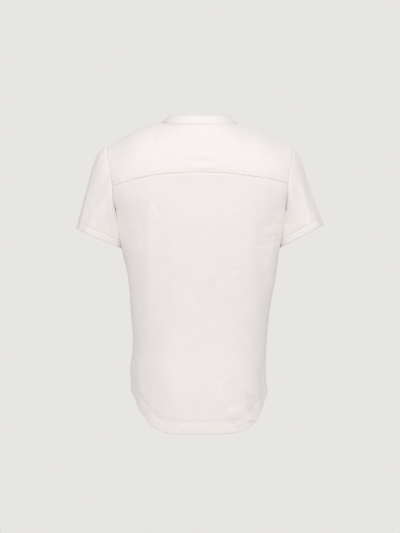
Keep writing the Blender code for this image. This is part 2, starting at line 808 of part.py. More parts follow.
def button_mesh():
    """A turned button with a raised rim, its back on the XY plane."""
    inner = BUTTON_RADIUS - BUTTON_RIM
    profile = (
        (0.0, 0.0),
        (BUTTON_RADIUS - BUTTON_ROUND, 0.0),
        (BUTTON_RADIUS, BUTTON_ROUND),
        (BUTTON_RADIUS, BUTTON_THICK - BUTTON_ROUND),
        (BUTTON_RADIUS - BUTTON_ROUND, BUTTON_THICK),
        (inner, BUTTON_THICK),
        (inner - BUTTON_BEVEL, BUTTON_DISH),
        (0.0, BUTTON_DISH),
    )
    solid = bmesh.new()
    verts = [solid.verts.new((radius, 0.0, z)) for radius, z in profile]
    edges = [solid.edges.new(pair) for pair in zip(verts, verts[1:])]
    bmesh.ops.spin(
        solid,
        geom=verts + edges,
        cent=(0, 0, 0),
        axis=(0, 0, 1),
        angle=2 * math.pi,
        steps=BUTTON_SIDES,
    )
    bmesh.ops.remove_doubles(solid, verts=solid.verts, dist=WELD)
    bmesh.ops.recalc_face_normals(solid, faces=solid.faces)
    mesh = bpy.data.meshes.new("button")
    solid.to_mesh(mesh)
    solid.free()
    return mesh


# ------------------------------------------------------------ objects


def finish(name, key):
    colour, roughness = FINISHES[key]
    material = bpy.data.materials.new(name)
    material.use_nodes = True
    shader = material.node_tree.nodes["Principled BSDF"]
    shader.inputs["Base Color"].default_value = (*colour, 1.0)
    shader.inputs["Roughness"].default_value = roughness
    shader.inputs["Metallic"].default_value = 0.0
    return material


def add_object(name, mesh, key):
    mesh.shade_smooth()
    mesh.set_sharp_from_angle(angle=math.radians(SHARP_ANGLE))
    made = bpy.data.objects.new(name, mesh)
    bpy.context.scene.collection.objects.link(made)
    made.data.materials.clear()
    made.data.materials.append(finish(name, key))
    return made


def add_solid(name, solid):
    bmesh.ops.triangulate(solid, faces=solid.faces)
    mesh = bpy.data.meshes.new(name)
    solid.to_mesh(mesh)
    solid.free()
    return add_object(name, mesh, name)


def strip_middle(surface, number):
    """The over strip's middle line as x and z: that of the under strip, and its tail."""
    verts = {v for f in surface.faces if f.material_index == number for v in f.verts}
    points = sorted((v.co for v in verts if abs(v.co.x) < PLACKET_HALF / 2), key=lambda p: -p.z)
    line = [(point.x, point.z) for point in points]
    line[0] = (line[0][0], line[0][1] - STRIP_DROP)
    x, foot = line[-1]
    return line + [(x, foot - STRIP_TAIL / 2), (x, foot - STRIP_TAIL)]


def build():
    for old in list(bpy.data.objects):
        bpy.data.objects.remove(old, do_unlink=True)
    surface, names = garment_surface()
    for number, name in enumerate(names):
        add_solid(name, cloth_piece(surface, number))
    ground = BVHTree.FromBMesh(surface)
    middle = strip_middle(surface, names.index("placket_under"))
    add_solid("placket_over", lying_strip(ground, middle))
    for number, z in enumerate(BUTTON_HEIGHTS, 1):
        x = min(middle, key=lambda place: abs(place[1] - z))[0]
        point, normal = front_point(ground, x, z)
        button = add_object(f"button_{number}", button_mesh(), "button")
        button.location = point + normal * (2 * LAY_GAP + STRIP_WALL)
        button.rotation_mode = "QUATERNION"
        button.rotation_quaternion = normal.to_track_quat("Z", "Y")
    surface.free()


build()
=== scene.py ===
import itertools
import math

import bpy
import numpy as np
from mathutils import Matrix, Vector
from mathutils.bvhtree import BVHTree
from mathutils.kdtree import KDTree


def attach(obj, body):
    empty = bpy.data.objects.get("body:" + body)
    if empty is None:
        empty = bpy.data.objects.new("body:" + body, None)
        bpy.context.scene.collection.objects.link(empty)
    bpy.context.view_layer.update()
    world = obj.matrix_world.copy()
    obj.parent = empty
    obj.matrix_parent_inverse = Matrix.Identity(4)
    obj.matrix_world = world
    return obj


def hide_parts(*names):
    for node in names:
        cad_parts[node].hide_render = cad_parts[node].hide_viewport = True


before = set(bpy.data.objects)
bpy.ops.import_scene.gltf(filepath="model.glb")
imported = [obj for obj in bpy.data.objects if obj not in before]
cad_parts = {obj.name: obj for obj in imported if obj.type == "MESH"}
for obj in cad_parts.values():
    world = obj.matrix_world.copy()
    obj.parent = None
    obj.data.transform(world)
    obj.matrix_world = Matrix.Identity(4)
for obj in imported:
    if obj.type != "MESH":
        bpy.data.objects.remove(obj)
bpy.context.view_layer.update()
print("frame loaded")


def table(columns, rows):
    return [dict(zip(columns, row)) for row in rows]


# the sizes of the garment, the same as in the part

cloth = {
    "thickness": 0.0008,
    "hemThickness": 0.0017,
    "lapGap": 0.0017,  # left end of the band over the right one
    "weld": 0.00002,
    "fineCell": 0.0011,  # beside the seams
    "fineReach": 0.0080,
    "widening": 0.25,  # of the cells, with the distance beyond that
    "cell": 0.0034,
    "hemSoft": 0.03,  # share of the hem over which it thickens
    "swell": 0.5,  # how far a free edge rounds out, in thicknesses
}

# cells of the solid: they fix where its lines run
cells = {"shoulder": 7, "neck": 5, "back": 4, "body": 20, "sleeve": 8}
placketColumn = cells["shoulder"] + cells["neck"]

body = {
    "backTop": -0.205,
    "frontTop": -0.2355,
    "hemDepth": 0.020,
    "hemLow": -0.729,
    "armFade": 0.11,
    "sections": table(
        ("z", "half", "back", "front", "square"),
        (
            (-0.128, 0.2350, 0.1170, 0.1180, 2.70),
            (-0.165, 0.2240, 0.1180, 0.1230, 2.80),
            (-0.200, 0.2080, 0.1182, 0.1250, 2.90),
            (-0.235, 0.1930, 0.1178, 0.1250, 2.90),
            (-0.270, 0.1875, 0.1162, 0.1235, 2.85),
            (-0.306, 0.1850, 0.1140, 0.1215, 2.80),
            (-0.372, 0.1745, 0.1090, 0.1180, 2.75),
            (-0.429, 0.1660, 0.1045, 0.1158, 2.65),
            (-0.495, 0.1600, 0.1010, 0.1145, 2.50),
            (-0.545, 0.1577, 0.1005, 0.1145, 2.40),
            (-0.590, 0.1588, 0.1020, 0.1150, 2.40),
            (-0.640, 0.1612, 0.1036, 0.1150, 2.35),
            (-0.690, 0.1620, 0.1026, 0.1145, 2.30),
            (-0.735, 0.1605, 0.0996, 0.1135, 2.30),
        ),
    ),
    "hem": table(
        ("angle", "rise"),
        (
            (0, 0.0890),
            (8, 0.0830),
            (17, 0.0670),
            (25, 0.0480),
            (34, 0.0310),
            (44, 0.0175),
            (56, 0.0065),
            (70, 0.0010),
            (90, 0.0),
        ),
    ),
}

armhole = table(
    ("place", "x", "y", "z"),
    (
        ("ridge", 0.2190, -0.0020, -0.0630),
        ("back top", 0.2165, 0.0340, -0.0850),
        ("back high", 0.2090, 0.0640, -0.1200),
        ("yoke seam", 0.2035, 0.0770, -0.1560),
        ("back low", 0.1990, 0.0730, -0.1870),
        ("back corner", 0.1945, 0.0560, -0.2120),
        ("under back", 0.1912, 0.0300, -0.2270),
        ("underarm", 0.1900, 0.0000, -0.2325),
        ("under front", 0.1912, -0.0300, -0.2280),
        ("front corner", 0.1945, -0.0570, -0.2130),
        ("front low", 0.1990, -0.0735, -0.1870),
        ("front mid", 0.2045, -0.0760, -0.1500),
        ("front high", 0.2115, -0.0640, -0.1130),
        ("front seam", 0.2175, -0.0330, -0.0770),
    ),
)

yoke = {
    "centre": -0.1305,
    "neckSide": (0.0860, -0.0050, -0.0010),
    "neckBack": (0.0, 0.0680, -0.0155),
    "neckSeam": (0.0880, -0.0360, -0.0125),
    "neckFront": (0.0, -0.0890, -0.0850),
    "neckSquare": 2.3,
    "shoulderRise": 0.0035,
    "forwardOnRidge": (0.0, -1.0, 0.10),
    "upToBackNeck": (0.0, -0.42, 0.90),
    "upToShoulder": (0.0, 0.76, 0.55),
    "upToFrontNeck": (0.0, 0.40, 0.92),
    "frontFullness": 0.95,
}

placket = {
    "half": 0.0140,
    "stripHalf": 0.0165,
    "stripTail": 0.0120,
    "stripWall": 0.0014,
    "stripDrop": 0.0010,
    "layGap": 0.0004,
    "buttonHeights": (-0.108, -0.152, -0.196),
}

band = {
    "axis": (0.0, -0.0120, 0.0),
    "seamWay": 1.3,
    "endWay": 2.0,
    "crown": 0.0010,
    "lapStart": 1.86,  # way round at which its left end begins to lift
    "lapSpan": 0.14,
    "shape": table(
        ("way", "lean", "rise"),
        (
            (0.0, 0.0075, 0.0213),
            (1.0, 0.0145, 0.0158),
            (1.3, 0.0155, 0.0150),
            (2.0, 0.0110, 0.0185),
        ),
    ),
}

sleeves = {
    "hem": 0.014,
    "armRadius": 0.070,  # turns an angle round the arm into a distance
    "creaseFade": 0.012,  # creases start this far below the armhole
    "cuffBack": (-0.0080, 0.0610, -0.0030),
    "cuffSquare": 2.7,
    "cuffs": table(
        ("side", "place", "x", "y", "z"),
        (
            (1, "inner", 0.1886, -0.0160, -0.3000),
            (1, "outer", 0.2930, 0.0060, -0.2550),
            (-1, "inner", 0.1888, -0.0160, -0.2990),
            (-1, "outer", 0.2912, 0.0120, -0.2460),
        ),
    ),
    "pulls": table(
        ("side", "place", "from", "to"),
        (
            (1, "top", (0.140, 0.000, -0.020), (0.055, -0.004, -0.165)),
            (1, "back", (0.062, 0.010, -0.095), (0.045, -0.010, -0.125)),
            (1, "under", (0.009, -0.002, -0.030), (0.003, -0.008, -0.070)),
            (1, "front", (0.062, -0.016, -0.095), (0.045, -0.008, -0.125)),
            (-1, "top", (0.085, 0.000, -0.075), (0.095, -0.004, -0.220)),
            (-1, "back", (0.060, 0.010, -0.100), (0.050, -0.010, -0.125)),
            (-1, "under", (0.009, -0.002, -0.030), (0.003, -0.008, -0.070)),
            (-1, "front", (0.060, -0.016, -0.100), (0.050, -0.008, -0.125)),
        ),
    ),
}

settles = table(
    ("x", "z", "radius", "shiftX", "shiftZ"),
    (
        (0.172, -0.040, 0.055, 0.0, 0.0058),
        (-0.125, -0.020, 0.050, 0.0, -0.0055),
        (0.190, -0.155, 0.050, 0.0, -0.0028),
        (-0.190, -0.155, 0.050, 0.0, 0.0025),
        (0.195, -0.250, 0.045, 0.0020, 0.0),
        (-0.197, -0.240, 0.050, -0.0060, 0.0),
        (0.0, 0.0, 0.090, 0.0022, 0.0),
        (0.265, -0.145, 0.045, -0.0028, 0.0),
        (-0.265, -0.150, 0.045, 0.0018, 0.0),
        (0.170, -0.370, 0.060, -0.0050, 0.0),
        (-0.172, -0.375, 0.060, -0.0034, 0.0),
        (0.158, -0.588, 0.042, 0.0068, 0.0),
        (0.142, -0.705, 0.040, -0.0055, 0.0055),
        (-0.160, -0.600, 0.075, 0.0032, 0.0),
    ),
)

# the large soft folds that the solid has too: angle in degrees from the vertical
folds = table(
    ("facing", "x", "z", "angle", "length", "width", "height"),
    (
        (1, 0.158, -0.330, -4, 0.110, 0.014, -0.0030),
        (1, 0.118, -0.300, -3, 0.120, 0.012, 0.0018),
        (1, -0.150, -0.360, 5, 0.130, 0.015, -0.0028),
        (1, 0.146, -0.605, -4, 0.100, 0.036, -0.0080),
        (1, -0.128, -0.600, 3, 0.110, 0.024, -0.0025),
        (1, -0.135, -0.690, 12, 0.045, 0.028, -0.0060),
        (1, -0.085, -0.690, 35, 0.045, 0.013, 0.0035),
        (1, 0.060, -0.640, 4, 0.100, 0.022, 0.0020),
        (1, 0.201, -0.262, -7, 0.048, 0.010, 0.0040),
        (1, -0.202, -0.266, 7, 0.042, 0.010, 0.0040),
        (1, 0.245, -0.190, -25, 0.050, 0.012, -0.0030),
        (1, -0.240, -0.200, 22, 0.050, 0.012, -0.0030),
        (-1, 0.120, -0.420, -4, 0.140, 0.018, -0.0035),
        (-1, -0.130, -0.380, 5, 0.130, 0.016, -0.0032),
        (-1, 0.055, -0.560, 3, 0.130, 0.022, 0.0025),
        (-1, -0.060, -0.620, -4, 0.110, 0.020, -0.0028),
        (-1, 0.095, -0.270, 28, 0.060, 0.014, -0.0025),
        (-1, -0.100, -0.290, -30, 0.060, 0.014, -0.0025),
        (-1, 0.245, -0.200, -20, 0.050, 0.012, -0.0025),
        (-1, -0.245, -0.190, 24, 0.050, 0.012, -0.0025),
    ),
)


# curves

def cubic(start, leave, end, reach, t):
    a = 2 * t**3 - 3 * t**2 + 1
    return start * a + leave * (t**3 - 2 * t**2 + t) + end * (1 - a) + reach * (t**3 - t**2)


def read(rows, key, at, want):
    rows = sorted(rows, key=lambda row: row[key])
    x = np.array([row[key] for row in rows], float)
    y = np.array([row[want] for row in rows], float)
    at = np.clip(at, x[0], x[-1])
    i = np.clip(np.searchsorted(x, at, side="right") - 1, 0, len(x) - 2)
    before, after = np.maximum(np.arange(len(x)) - 1, 0), np.minimum(np.arange(len(x)) + 1, len(x) - 1)
    slope = (y[after] - y[before]) / (x[after] - x[before])
    span = x[i + 1] - x[i]
    return cubic(y[i], slope[i] * span, y[i + 1], slope[i + 1] * span, (at - x[i]) / span)


def unit(v):
    return v / np.maximum(np.linalg.norm(v, axis=-1, keepdims=True), 1e-12)


def flipped(points):
    return points * np.array((-1.0, 1.0, 1.0))


def runLengths(line):
    return np.concatenate([[0.0], np.cumsum(np.linalg.norm(np.diff(line, axis=0), axis=1))])


def between(run, values, at):
    return np.stack([np.interp(at, run, values[:, k]) for k in range(3)], axis=1)


def along(line, shares):
    run = runLengths(line)
    return between(run, line, np.asarray(shares) * run[-1])


def alongAndAcross(row, right, down):
    # place in a slanted fold or crease, in its own lengths and widths
    angle = math.radians(row["angle"])
    run = (down * math.cos(angle) + right * math.sin(angle)) / row["length"]
    return run, (right * math.cos(angle) - down * math.sin(angle)) / row["width"]


def lineTree(line):
    tree = KDTree(len(line))
    for k, point in enumerate(line):
        tree.insert(point, k)
    tree.balance()
    return tree


def quadsOf(index):
    return np.stack([index[:-1, :-1], index[1:, :-1], index[1:, 1:], index[:-1, 1:]], axis=-1).reshape(-1, 4)


def graded(length, fineStart, fineEnd):
    # shares of a length, close together beside a seam
    x = np.linspace(0.0, length, 2000)
    near = np.full_like(x, length)
    if fineStart:
        near = np.minimum(near, x)
    if fineEnd:
        near = np.minimum(near, length - x)
    wider = cloth["widening"] * np.maximum(near - cloth["fineReach"], 0)
    step = np.minimum(cloth["cell"], cloth["fineCell"] + wider)
    count = np.concatenate([[0.0], np.cumsum(np.diff(x) / (step[1:] + step[:-1]) * 2)])
    total = math.ceil(count[-1])
    shares = np.interp(np.linspace(0, count[-1], total + 1), count, x) / length
    shares[0], shares[-1] = 0.0, 1.0
    return shares


def ringThrough(points, steps=64):
    runs = []
    t = (np.arange(steps) / steps)[:, None]
    for i, point in enumerate(points):
        before, after, later = (points[(i + k) % len(points)] for k in (-1, 1, 2))
        span = np.linalg.norm(after - point)
        leave = (after - before) * (span / (span + np.linalg.norm(point - before)))
        reach = (later - point) * (span / (span + np.linalg.norm(later - after)))
        runs.append(cubic(point, leave, after, reach, t))
    return runs


# where the fine rows and columns lie, in cells of the solid

armShares = graded(0.064, True, False)  # from the side seam to the corner of the armhole
shoulderColumns = graded(0.135, True, True) * cells["shoulder"]
neckColumns = cells["shoulder"] + graded(0.090, True, False) * cells["neck"]
placketColumns = placketColumn + np.linspace(0, 1, 6)
backColumns = np.concatenate([shoulderColumns, neckColumns[1:]])
frontColumns = np.concatenate([backColumns, placketColumns[1:]])
shoulderCount = len(shoulderColumns)

rowShares = {
    "yoke": graded(0.125, True, True),
    "strip": graded(0.034, True, False),
    "back": graded(0.075, True, False),
    "front": graded(0.165, True, False),
    "body": graded(0.500, True, True),
    "sleeve": graded(0.170, True, True),
    "hem": np.linspace(0, 1, 13)[1:],
    "band": np.concatenate([[0.0, 0.02, 0.05], np.linspace(0.1, 1.0, 18)]),
}

armNames = [row["place"] for row in armhole]
armPoints = [np.array((row["x"], row["y"], row["z"])) for row in armhole]
armRuns = ringThrough(armPoints)


def armBetween(start, end, shares):
    line, i = [], armNames.index(start)
    while armNames[i % len(armNames)] != end:
        line.append(armRuns[i % len(armNames)])
        i += 1
    line = np.concatenate(line + [armRuns[i % len(armNames)][:1]])
    return along(line, shares)


arm = {
    "yoke": armBetween("ridge", "yoke seam", rowShares["yoke"]),
    "back": armBetween("yoke seam", "back corner", rowShares["back"]),
    "backUnder": armBetween("back corner", "underarm", 1 - armShares[::-1]),
    "frontUnder": armBetween("underarm", "front corner", armShares),
    "front": armBetween("front corner", "front seam", 1 - rowShares["front"][::-1]),
    "strip": armBetween("front seam", "ridge", rowShares["strip"]),
}


# body

def depthName(back):
    return "back" if back else "front"


def section(z, want):
    return read(body["sections"], "z", z, want)


def sectionPoint(angle, z, back):
    power = 2 / section(z, "square")
    x = section(z, "half") * np.cos(angle) ** power
    y = section(z, depthName(back)) * np.sin(angle) ** power
    return np.stack([x, y if back else -y, z], axis=-1)


def rowFrom(edge, centreZ, back):
    columns = backColumns if back else frontColumns
    depth, square = section(centreZ, depthName(back)), section(centreZ, "square")
    half = edge[0] / (1 - (abs(edge[1]) / depth) ** square) ** (1 / square)
    first = math.asin((abs(edge[1]) / depth) ** (square / 2))
    last = math.pi / 2 if back else math.acos((placket["half"] / half) ** (square / 2))
    angle = first + (last - first) * np.minimum(columns / placketColumn, 1)
    if not back:
        angle = angle + (math.pi / 2 - last) * np.clip(columns - placketColumn, 0, 1)
    x = half * np.maximum(np.cos(angle), 0.0) ** (2 / square)
    y = depth * np.sin(angle) ** (2 / square)
    z = centreZ + (edge[2] - centreZ) * (x / edge[0]) ** 2
    row = np.stack([x, y if back else -y, z], axis=-1)
    row[0] = edge
    row[-1, 0] = 0.0
    return row


def sectionAngle(points, back):
    x, y, z = points.T
    half = np.maximum(section(z, "half"), x)
    depth = section(z, depthName(back))
    power = section(z, "square") / 2
    return np.arctan2((np.abs(y) / depth) ** power, (x / half) ** power)


def lowerBody(back):
    # half of the body below the armhole, and its row one cell of the solid further down
    under = arm["backUnder"][::-1] if back else arm["frontUnder"]
    corner = under[-1]
    top = np.concatenate([under, rowFrom(corner, body["backTop" if back else "frontTop"], back)[1:]])
    angle = sectionAngle(top, back)
    edge = body["hemLow"] + read(body["hem"], "angle", np.degrees(angle), "rise")
    hem = edge + body["hemDepth"]
    away = top - sectionPoint(angle, top[:, 2], back)

    def rowAt(z):
        fade = np.maximum(1 - (top[:, 2] - z) / body["armFade"], 0.0) ** 2
        row = sectionPoint(angle, z, back) + away * fade[:, None]
        row[-1, 0] = 0.0
        return row

    rows = [rowAt(top[:, 2] + (hem - top[:, 2]) * share) for share in rowShares["body"]]
    rows[0] = top.copy()
    rows += [rowAt(hem + (edge - hem) * share) for share in rowShares["hem"]]
    below = rowAt(top[:, 2] + (hem - top[:, 2]) / cells["body"])
    return np.array(rows), below


def upperBack():
    def rowAt(edge, share):
        return rowFrom(edge, yoke["centre"] + (body["backTop"] - yoke["centre"]) * share, True)

    rows = np.array([rowAt(edge, share) for edge, share in zip(arm["back"], rowShares["back"])])
    belowShare = 1 / cells["back"]
    below = rowAt(armBetween("yoke seam", "back corner", [belowShare])[0], belowShare)
    return rows, below


# yoke and upper front

def bent(top, bottom, topWays, bottomWays, edge, shares, columns, strength=1.0):
    pull = np.linalg.norm(top - bottom, axis=1, keepdims=True) * strength
    t = (1 - shares)[:, None, None]
    rows = cubic(bottom, unit(bottomWays) * pull, top, unit(topWays) * pull, t)
    shift = edge - rows[:, 0]
    weight = np.maximum(1 - columns / (cells["shoulder"] - 1), 0) ** 2
    rows = rows + shift[:, None, :] * weight[None, :, None]
    rows[0], rows[-1] = top, bottom
    rows[:, 0] = edge
    return rows


def shoulderLine(outer, inner, columns):
    t = columns / cells["shoulder"]
    line = outer + (inner - outer) * t[:, None]
    line[:, 2] += yoke["shoulderRise"] * (np.sin(np.pi * t) - np.sin(2 * np.pi * t) / 2)
    return line


def neckShare(columns):
    return np.clip((columns - cells["shoulder"]) / cells["neck"], 0, 1)


def backNeckline():
    side, middle = np.array(yoke["neckSide"]), np.array(yoke["neckBack"])
    angle = np.pi / 2 * neckShare(neckColumns)
    power = 2 / yoke["neckSquare"]
    line = side + (middle - side) * (np.sin(angle) ** power)[:, None]
    line[:, 0] = side[0] * np.maximum(np.cos(angle), 0) ** power
    line[-1, 0] = 0.0
    return line


def frontNeckline():
    side, middle = np.array(yoke["neckSeam"]), np.array(yoke["neckFront"])
    columns = np.concatenate([neckColumns, placketColumns[1:]])
    last = math.acos(placket["half"] / side[0])
    angle = last * neckShare(columns) + (np.pi / 2 - last) * np.clip(columns - placketColumn, 0, 1)
    line = side + (middle - side) * np.sin(angle)[:, None]
    line[:, 0] = side[0] * np.cos(angle)
    line[-1] = middle
    return line


def turning(first, last, columns):
    first, last = np.array(first), np.array(last)
    return first + (last - first) * neckShare(columns)[:, None]


ridgeLine = shoulderLine(armPoints[0], np.array(yoke["neckSide"]), shoulderColumns)
frontSeamLine = shoulderLine(armPoints[-1], np.array(yoke["neckSeam"]), shoulderColumns)


def yokeBack(seam, below):
    return bent(
        np.concatenate([ridgeLine, backNeckline()[1:]]),
        seam,
        turning(yoke["forwardOnRidge"], yoke["upToBackNeck"], backColumns),
        seam - below,
        arm["yoke"],
        rowShares["yoke"],
        backColumns,
    )


def yokeStrip():
    ways = np.ones((shoulderCount, 1))
    return bent(
        frontSeamLine,
        ridgeLine,
        -np.array(yoke["upToShoulder"]) * ways,
        np.array(yoke["forwardOnRidge"]) * ways,
        arm["strip"],
        rowShares["strip"],
        shoulderColumns,
    )


def upperFront(bottom, below):
    return bent(
        np.concatenate([frontSeamLine, frontNeckline()[1:]]),
        bottom,
        turning(yoke["upToShoulder"], yoke["upToFrontNeck"], frontColumns),
        bottom - below,
        arm["front"][::-1],
        rowShares["front"],
        frontColumns,
        yoke["frontFullness"],
    )


# sleeves and neckband

def armRing():
    parts = ("yoke", "back", "backUnder", "frontUnder", "front", "strip")
    under = sum(len(arm[part]) - 1 for part in parts[:3])
    return np.concatenate([arm[part][:-1] for part in parts]), under


def turnAngles(ring, under):
    run = runLengths(np.concatenate([ring, ring[:1]]))
    behind, whole = run[under], run[-1]
    run = run[:-1]
    return np.pi * np.where(run < behind, run / behind, 1 + (run - behind) / (whole - behind))


def sleevePull(side, end, angle):
    weights = {
        "top": np.maximum(np.cos(angle), 0.0) ** 2,
        "back": np.maximum(np.sin(angle), 0.0) ** 2,
        "under": np.maximum(-np.cos(angle), 0.0) ** 2,
        "front": np.maximum(-np.sin(angle), 0.0) ** 2,
    }
    rows = [row for row in sleeves["pulls"] if row["side"] == side]
    return sum(np.array(row[end]) * weights[row["place"]][:, None] for row in rows)


def squared(values):
    return np.sign(values) * np.abs(values) ** (2 / sleeves["cuffSquare"])


def sleeveGrid(side):
    cuff = {row["place"]: row for row in sleeves["cuffs"] if row["side"] == side}
    inner, outer = (np.array([cuff[name][axis] for axis in "xyz"]) for name in ("inner", "outer"))
    middle, up = (inner + outer) / 2, (outer - inner) / 2
    behind = np.array(sleeves["cuffBack"])
    ring, under = armRing()
    angle = turnAngles(ring, under)
    end = middle + up * squared(np.cos(angle))[:, None] + behind * squared(np.sin(angle))[:, None]
    leave, reach = sleevePull(side, "from", angle), sleevePull(side, "to", angle)
    hem = 1 - sleeves["hem"] / np.linalg.norm(reach, axis=1)
    times = [hem * share for share in rowShares["sleeve"]]
    times += [hem + (1 - hem) * share for share in rowShares["hem"]]
    rows = np.array([cubic(ring, leave, end, reach, t[:, None]) for t in times])
    rows[0] = ring
    if side < 0:
        rows = flipped(np.concatenate([rows[:, :1], rows[:, :0:-1]], axis=1))
        under = len(ring) - under
    return np.concatenate([rows, rows[:, :1]], axis=1), under


def bandGrid():
    strip = yokeStrip()[::-1, -1]
    back, front = backNeckline()[::-1], frontNeckline()
    half = np.concatenate([back, strip[1:], front[1:]])
    frontCount = len(placketColumns) - 1  # columns between the edge of the placket and the centre
    backWay = 1 - neckShare(neckColumns)[::-1]
    stripWay = 1 + (band["seamWay"] - 1) * (1 - rowShares["strip"][::-1])
    frontWay = band["seamWay"] + (band["endWay"] - band["seamWay"]) * neckShare(neckColumns)
    way = np.concatenate([backWay, stripWay[1:], frontWay[1:], np.full(frontCount, band["endWay"])])
    other = flipped(half)
    last = len(half) - 1
    lap = slice(last - frontCount, last)
    base = np.concatenate([other[lap], half[::-1], other[1:], half[lap][::-1]])
    ways = np.concatenate([way[lap], way[::-1], way[1:], way[lap][::-1]])
    leftEnd = np.concatenate([np.ones(frontCount), way[::-1], np.zeros(last + frontCount)])
    fade = np.clip((leftEnd - band["lapStart"]) / band["lapSpan"], 0, 1)
    fade[:frontCount] = 1.0
    lift = cloth["lapGap"] * fade**2 * (3 - 2 * fade)
    inward = np.array(band["axis"]) - base
    inward[:, 2] = 0
    inward = unit(inward)
    lean, rise = read(band["shape"], "way", ways, "lean"), read(band["shape"], "way", ways, "rise")
    upright = np.array((0.0, 0.0, 1.0))
    up = inward * lean[:, None] + upright * rise[:, None]
    outward = unit(upright * lean[:, None] - inward * rise[:, None])
    rows = []
    for t in 1 - rowShares["band"]:
        crown = 4 * band["crown"] * t * (1 - t)
        rows.append(base + up * t + outward * (lift + crown)[:, None])
    return np.array(rows)


# the shared surface

def overTheBack(half):
    return np.concatenate([half, flipped(half)[:, -2::-1]], axis=1)


def overTheFront(half):
    return np.concatenate([flipped(half), half[:, -2::-1]], axis=1)


def settled(points):
    moved = points.copy()
    for row in settles:
        away = (points[..., 0] - row["x"]) ** 2 + (points[..., 2] - row["z"]) ** 2
        share = np.exp(-away / row["radius"] ** 2)
        moved[..., 0] += row["shiftX"] * share
        moved[..., 2] += row["shiftZ"] * share
    return moved


upperBackRows, upperBackBelow = upperBack()
lowerBackRows, _ = lowerBody(True)
lowerFrontRows, lowerFrontBelow = lowerBody(False)
firstColumn = len(armShares) - 1
yokeStripRows = yokeStrip()
upperFrontRows = overTheFront(upperFront(lowerFrontRows[0, firstColumn:], lowerFrontBelow[firstColumn:]))
opening = len(backColumns) - 1
openingEnd = opening + 2 * (len(placketColumns) - 1)
leftSleeveRows, leftUnder = sleeveGrid(1)
rightSleeveRows, rightUnder = sleeveGrid(-1)

grids = [  # piece, name of the grid, its points in rows from the top down
    ("back", "upperBack", overTheBack(upperBackRows)),
    ("back", "lowerBack", overTheBack(lowerBackRows)),
    ("yoke", "yokeBack", overTheBack(yokeBack(upperBackRows[0], upperBackBelow))),
    ("yoke", "stripLeft", yokeStripRows),
    ("yoke", "stripRight", flipped(yokeStripRows[:, ::-1])),
    ("front", "frontRight", upperFrontRows[:, : opening + 1]),
    ("front", "frontLeft", upperFrontRows[:, openingEnd:]),
    ("front", "lowerFront", overTheFront(lowerFrontRows)),
    ("placket_under", "placket", upperFrontRows[:, opening : openingEnd + 1]),
    ("sleeve_left", "sleeveLeft", leftSleeveRows),
    ("sleeve_right", "sleeveRight", rightSleeveRows),
    ("neckband", "band", bandGrid()),
]
pieceNames = list(dict.fromkeys(piece for piece, _, _ in grids))

corners, gridIndex, faceCorners, facePiece = [], {}, [], []
offset = 0
for piece, name, rows in grids:
    count = rows.shape[0] * rows.shape[1]
    index = np.arange(offset, offset + count).reshape(rows.shape[:2])
    gridIndex[name] = index
    corners.append(settled(rows).reshape(-1, 3))
    quads = quadsOf(index)
    faceCorners.append(quads)
    facePiece.append(np.full(len(quads), pieceNames.index(piece)))
    offset += count
corners = np.concatenate(corners)
faceCorners = np.concatenate(faceCorners)
facePiece = np.concatenate(facePiece)

_, firstOf, weldOf = np.unique(
    np.round(corners / cloth["weld"]).astype(np.int64), axis=0, return_index=True, return_inverse=True
)
weldOf = weldOf.reshape(-1)
points = corners[firstOf]
faces = weldOf[faceCorners]
seamRow = {name: weldOf[index] for name, index in gridIndex.items()}
print("shared surface:", len(points), "points,", len(faces), "faces")


def pointNormals(points):
    normal = np.cross(points[faces[:, 2]] - points[faces[:, 0]], points[faces[:, 3]] - points[faces[:, 1]])
    total = np.zeros_like(points)
    for k in range(4):
        np.add.at(total, faces[:, k], normal)
    return unit(total)


def foldHeight(points, normals, rows):
    height = np.zeros(len(points))
    for fold in rows:
        facing = np.maximum(normals[:, 1] * fold["facing"], 0.0)
        run, across = alongAndAcross(fold, points[:, 0] - fold["x"], points[:, 2] - fold["z"])
        height += fold["height"] * facing * np.exp(-(run**2) - across**2)
    return height


normals = pointNormals(points)
points = points + normals * foldHeight(points, normals, folds)[:, None]
normals = pointNormals(points)
base = points.copy()
baseNormals = normals.copy()

# seams: lines of points, and the distance of every point from them

seamLines = {
    "armholeLeft": seamRow["sleeveLeft"][0],
    "armholeRight": seamRow["sleeveRight"][0],
    "yokeSeam": seamRow["yokeBack"][-1],
    "shoulderLeft": seamRow["stripLeft"][0],
    "shoulderRight": seamRow["stripRight"][0],
    "sideLeft": seamRow["lowerBack"][:, 0],
    "sideRight": seamRow["lowerBack"][:, -1],
    "underLeft": seamRow["sleeveLeft"][:, leftUnder],
    "underRight": seamRow["sleeveRight"][:, rightUnder],
    "hemBack": seamRow["lowerBack"][-1],
    "hemFront": seamRow["lowerFront"][-1],
    "cuffLeft": seamRow["sleeveLeft"][-1],
    "cuffRight": seamRow["sleeveRight"][-1],
    "bandBack": np.concatenate(
        [seamRow["stripLeft"][:-1, -1], seamRow["yokeBack"][0, shoulderCount - 1 : 1 - shoulderCount],
         seamRow["stripRight"][:-1, 0][::-1]]
    ),
    "bandFrontRight": seamRow["frontRight"][0, shoulderCount - 1 :],
    "bandFrontLeft": seamRow["frontLeft"][0, : 1 - shoulderCount],
    "bandTop": seamRow["band"][0],
}
pieceOfPoint = {name: np.unique(faces[facePiece == k]) for k, name in enumerate(pieceNames)}
seamSample = 0.0006
farAway = 1.0  # stands for no seam within reach


def seamTree(name):
    line = base[seamLines[name]]
    length = runLengths(line)[-1]
    samples = max(int(length / seamSample), 4)
    return lineTree(along(line, np.linspace(0, 1, samples))), length / (samples - 1)


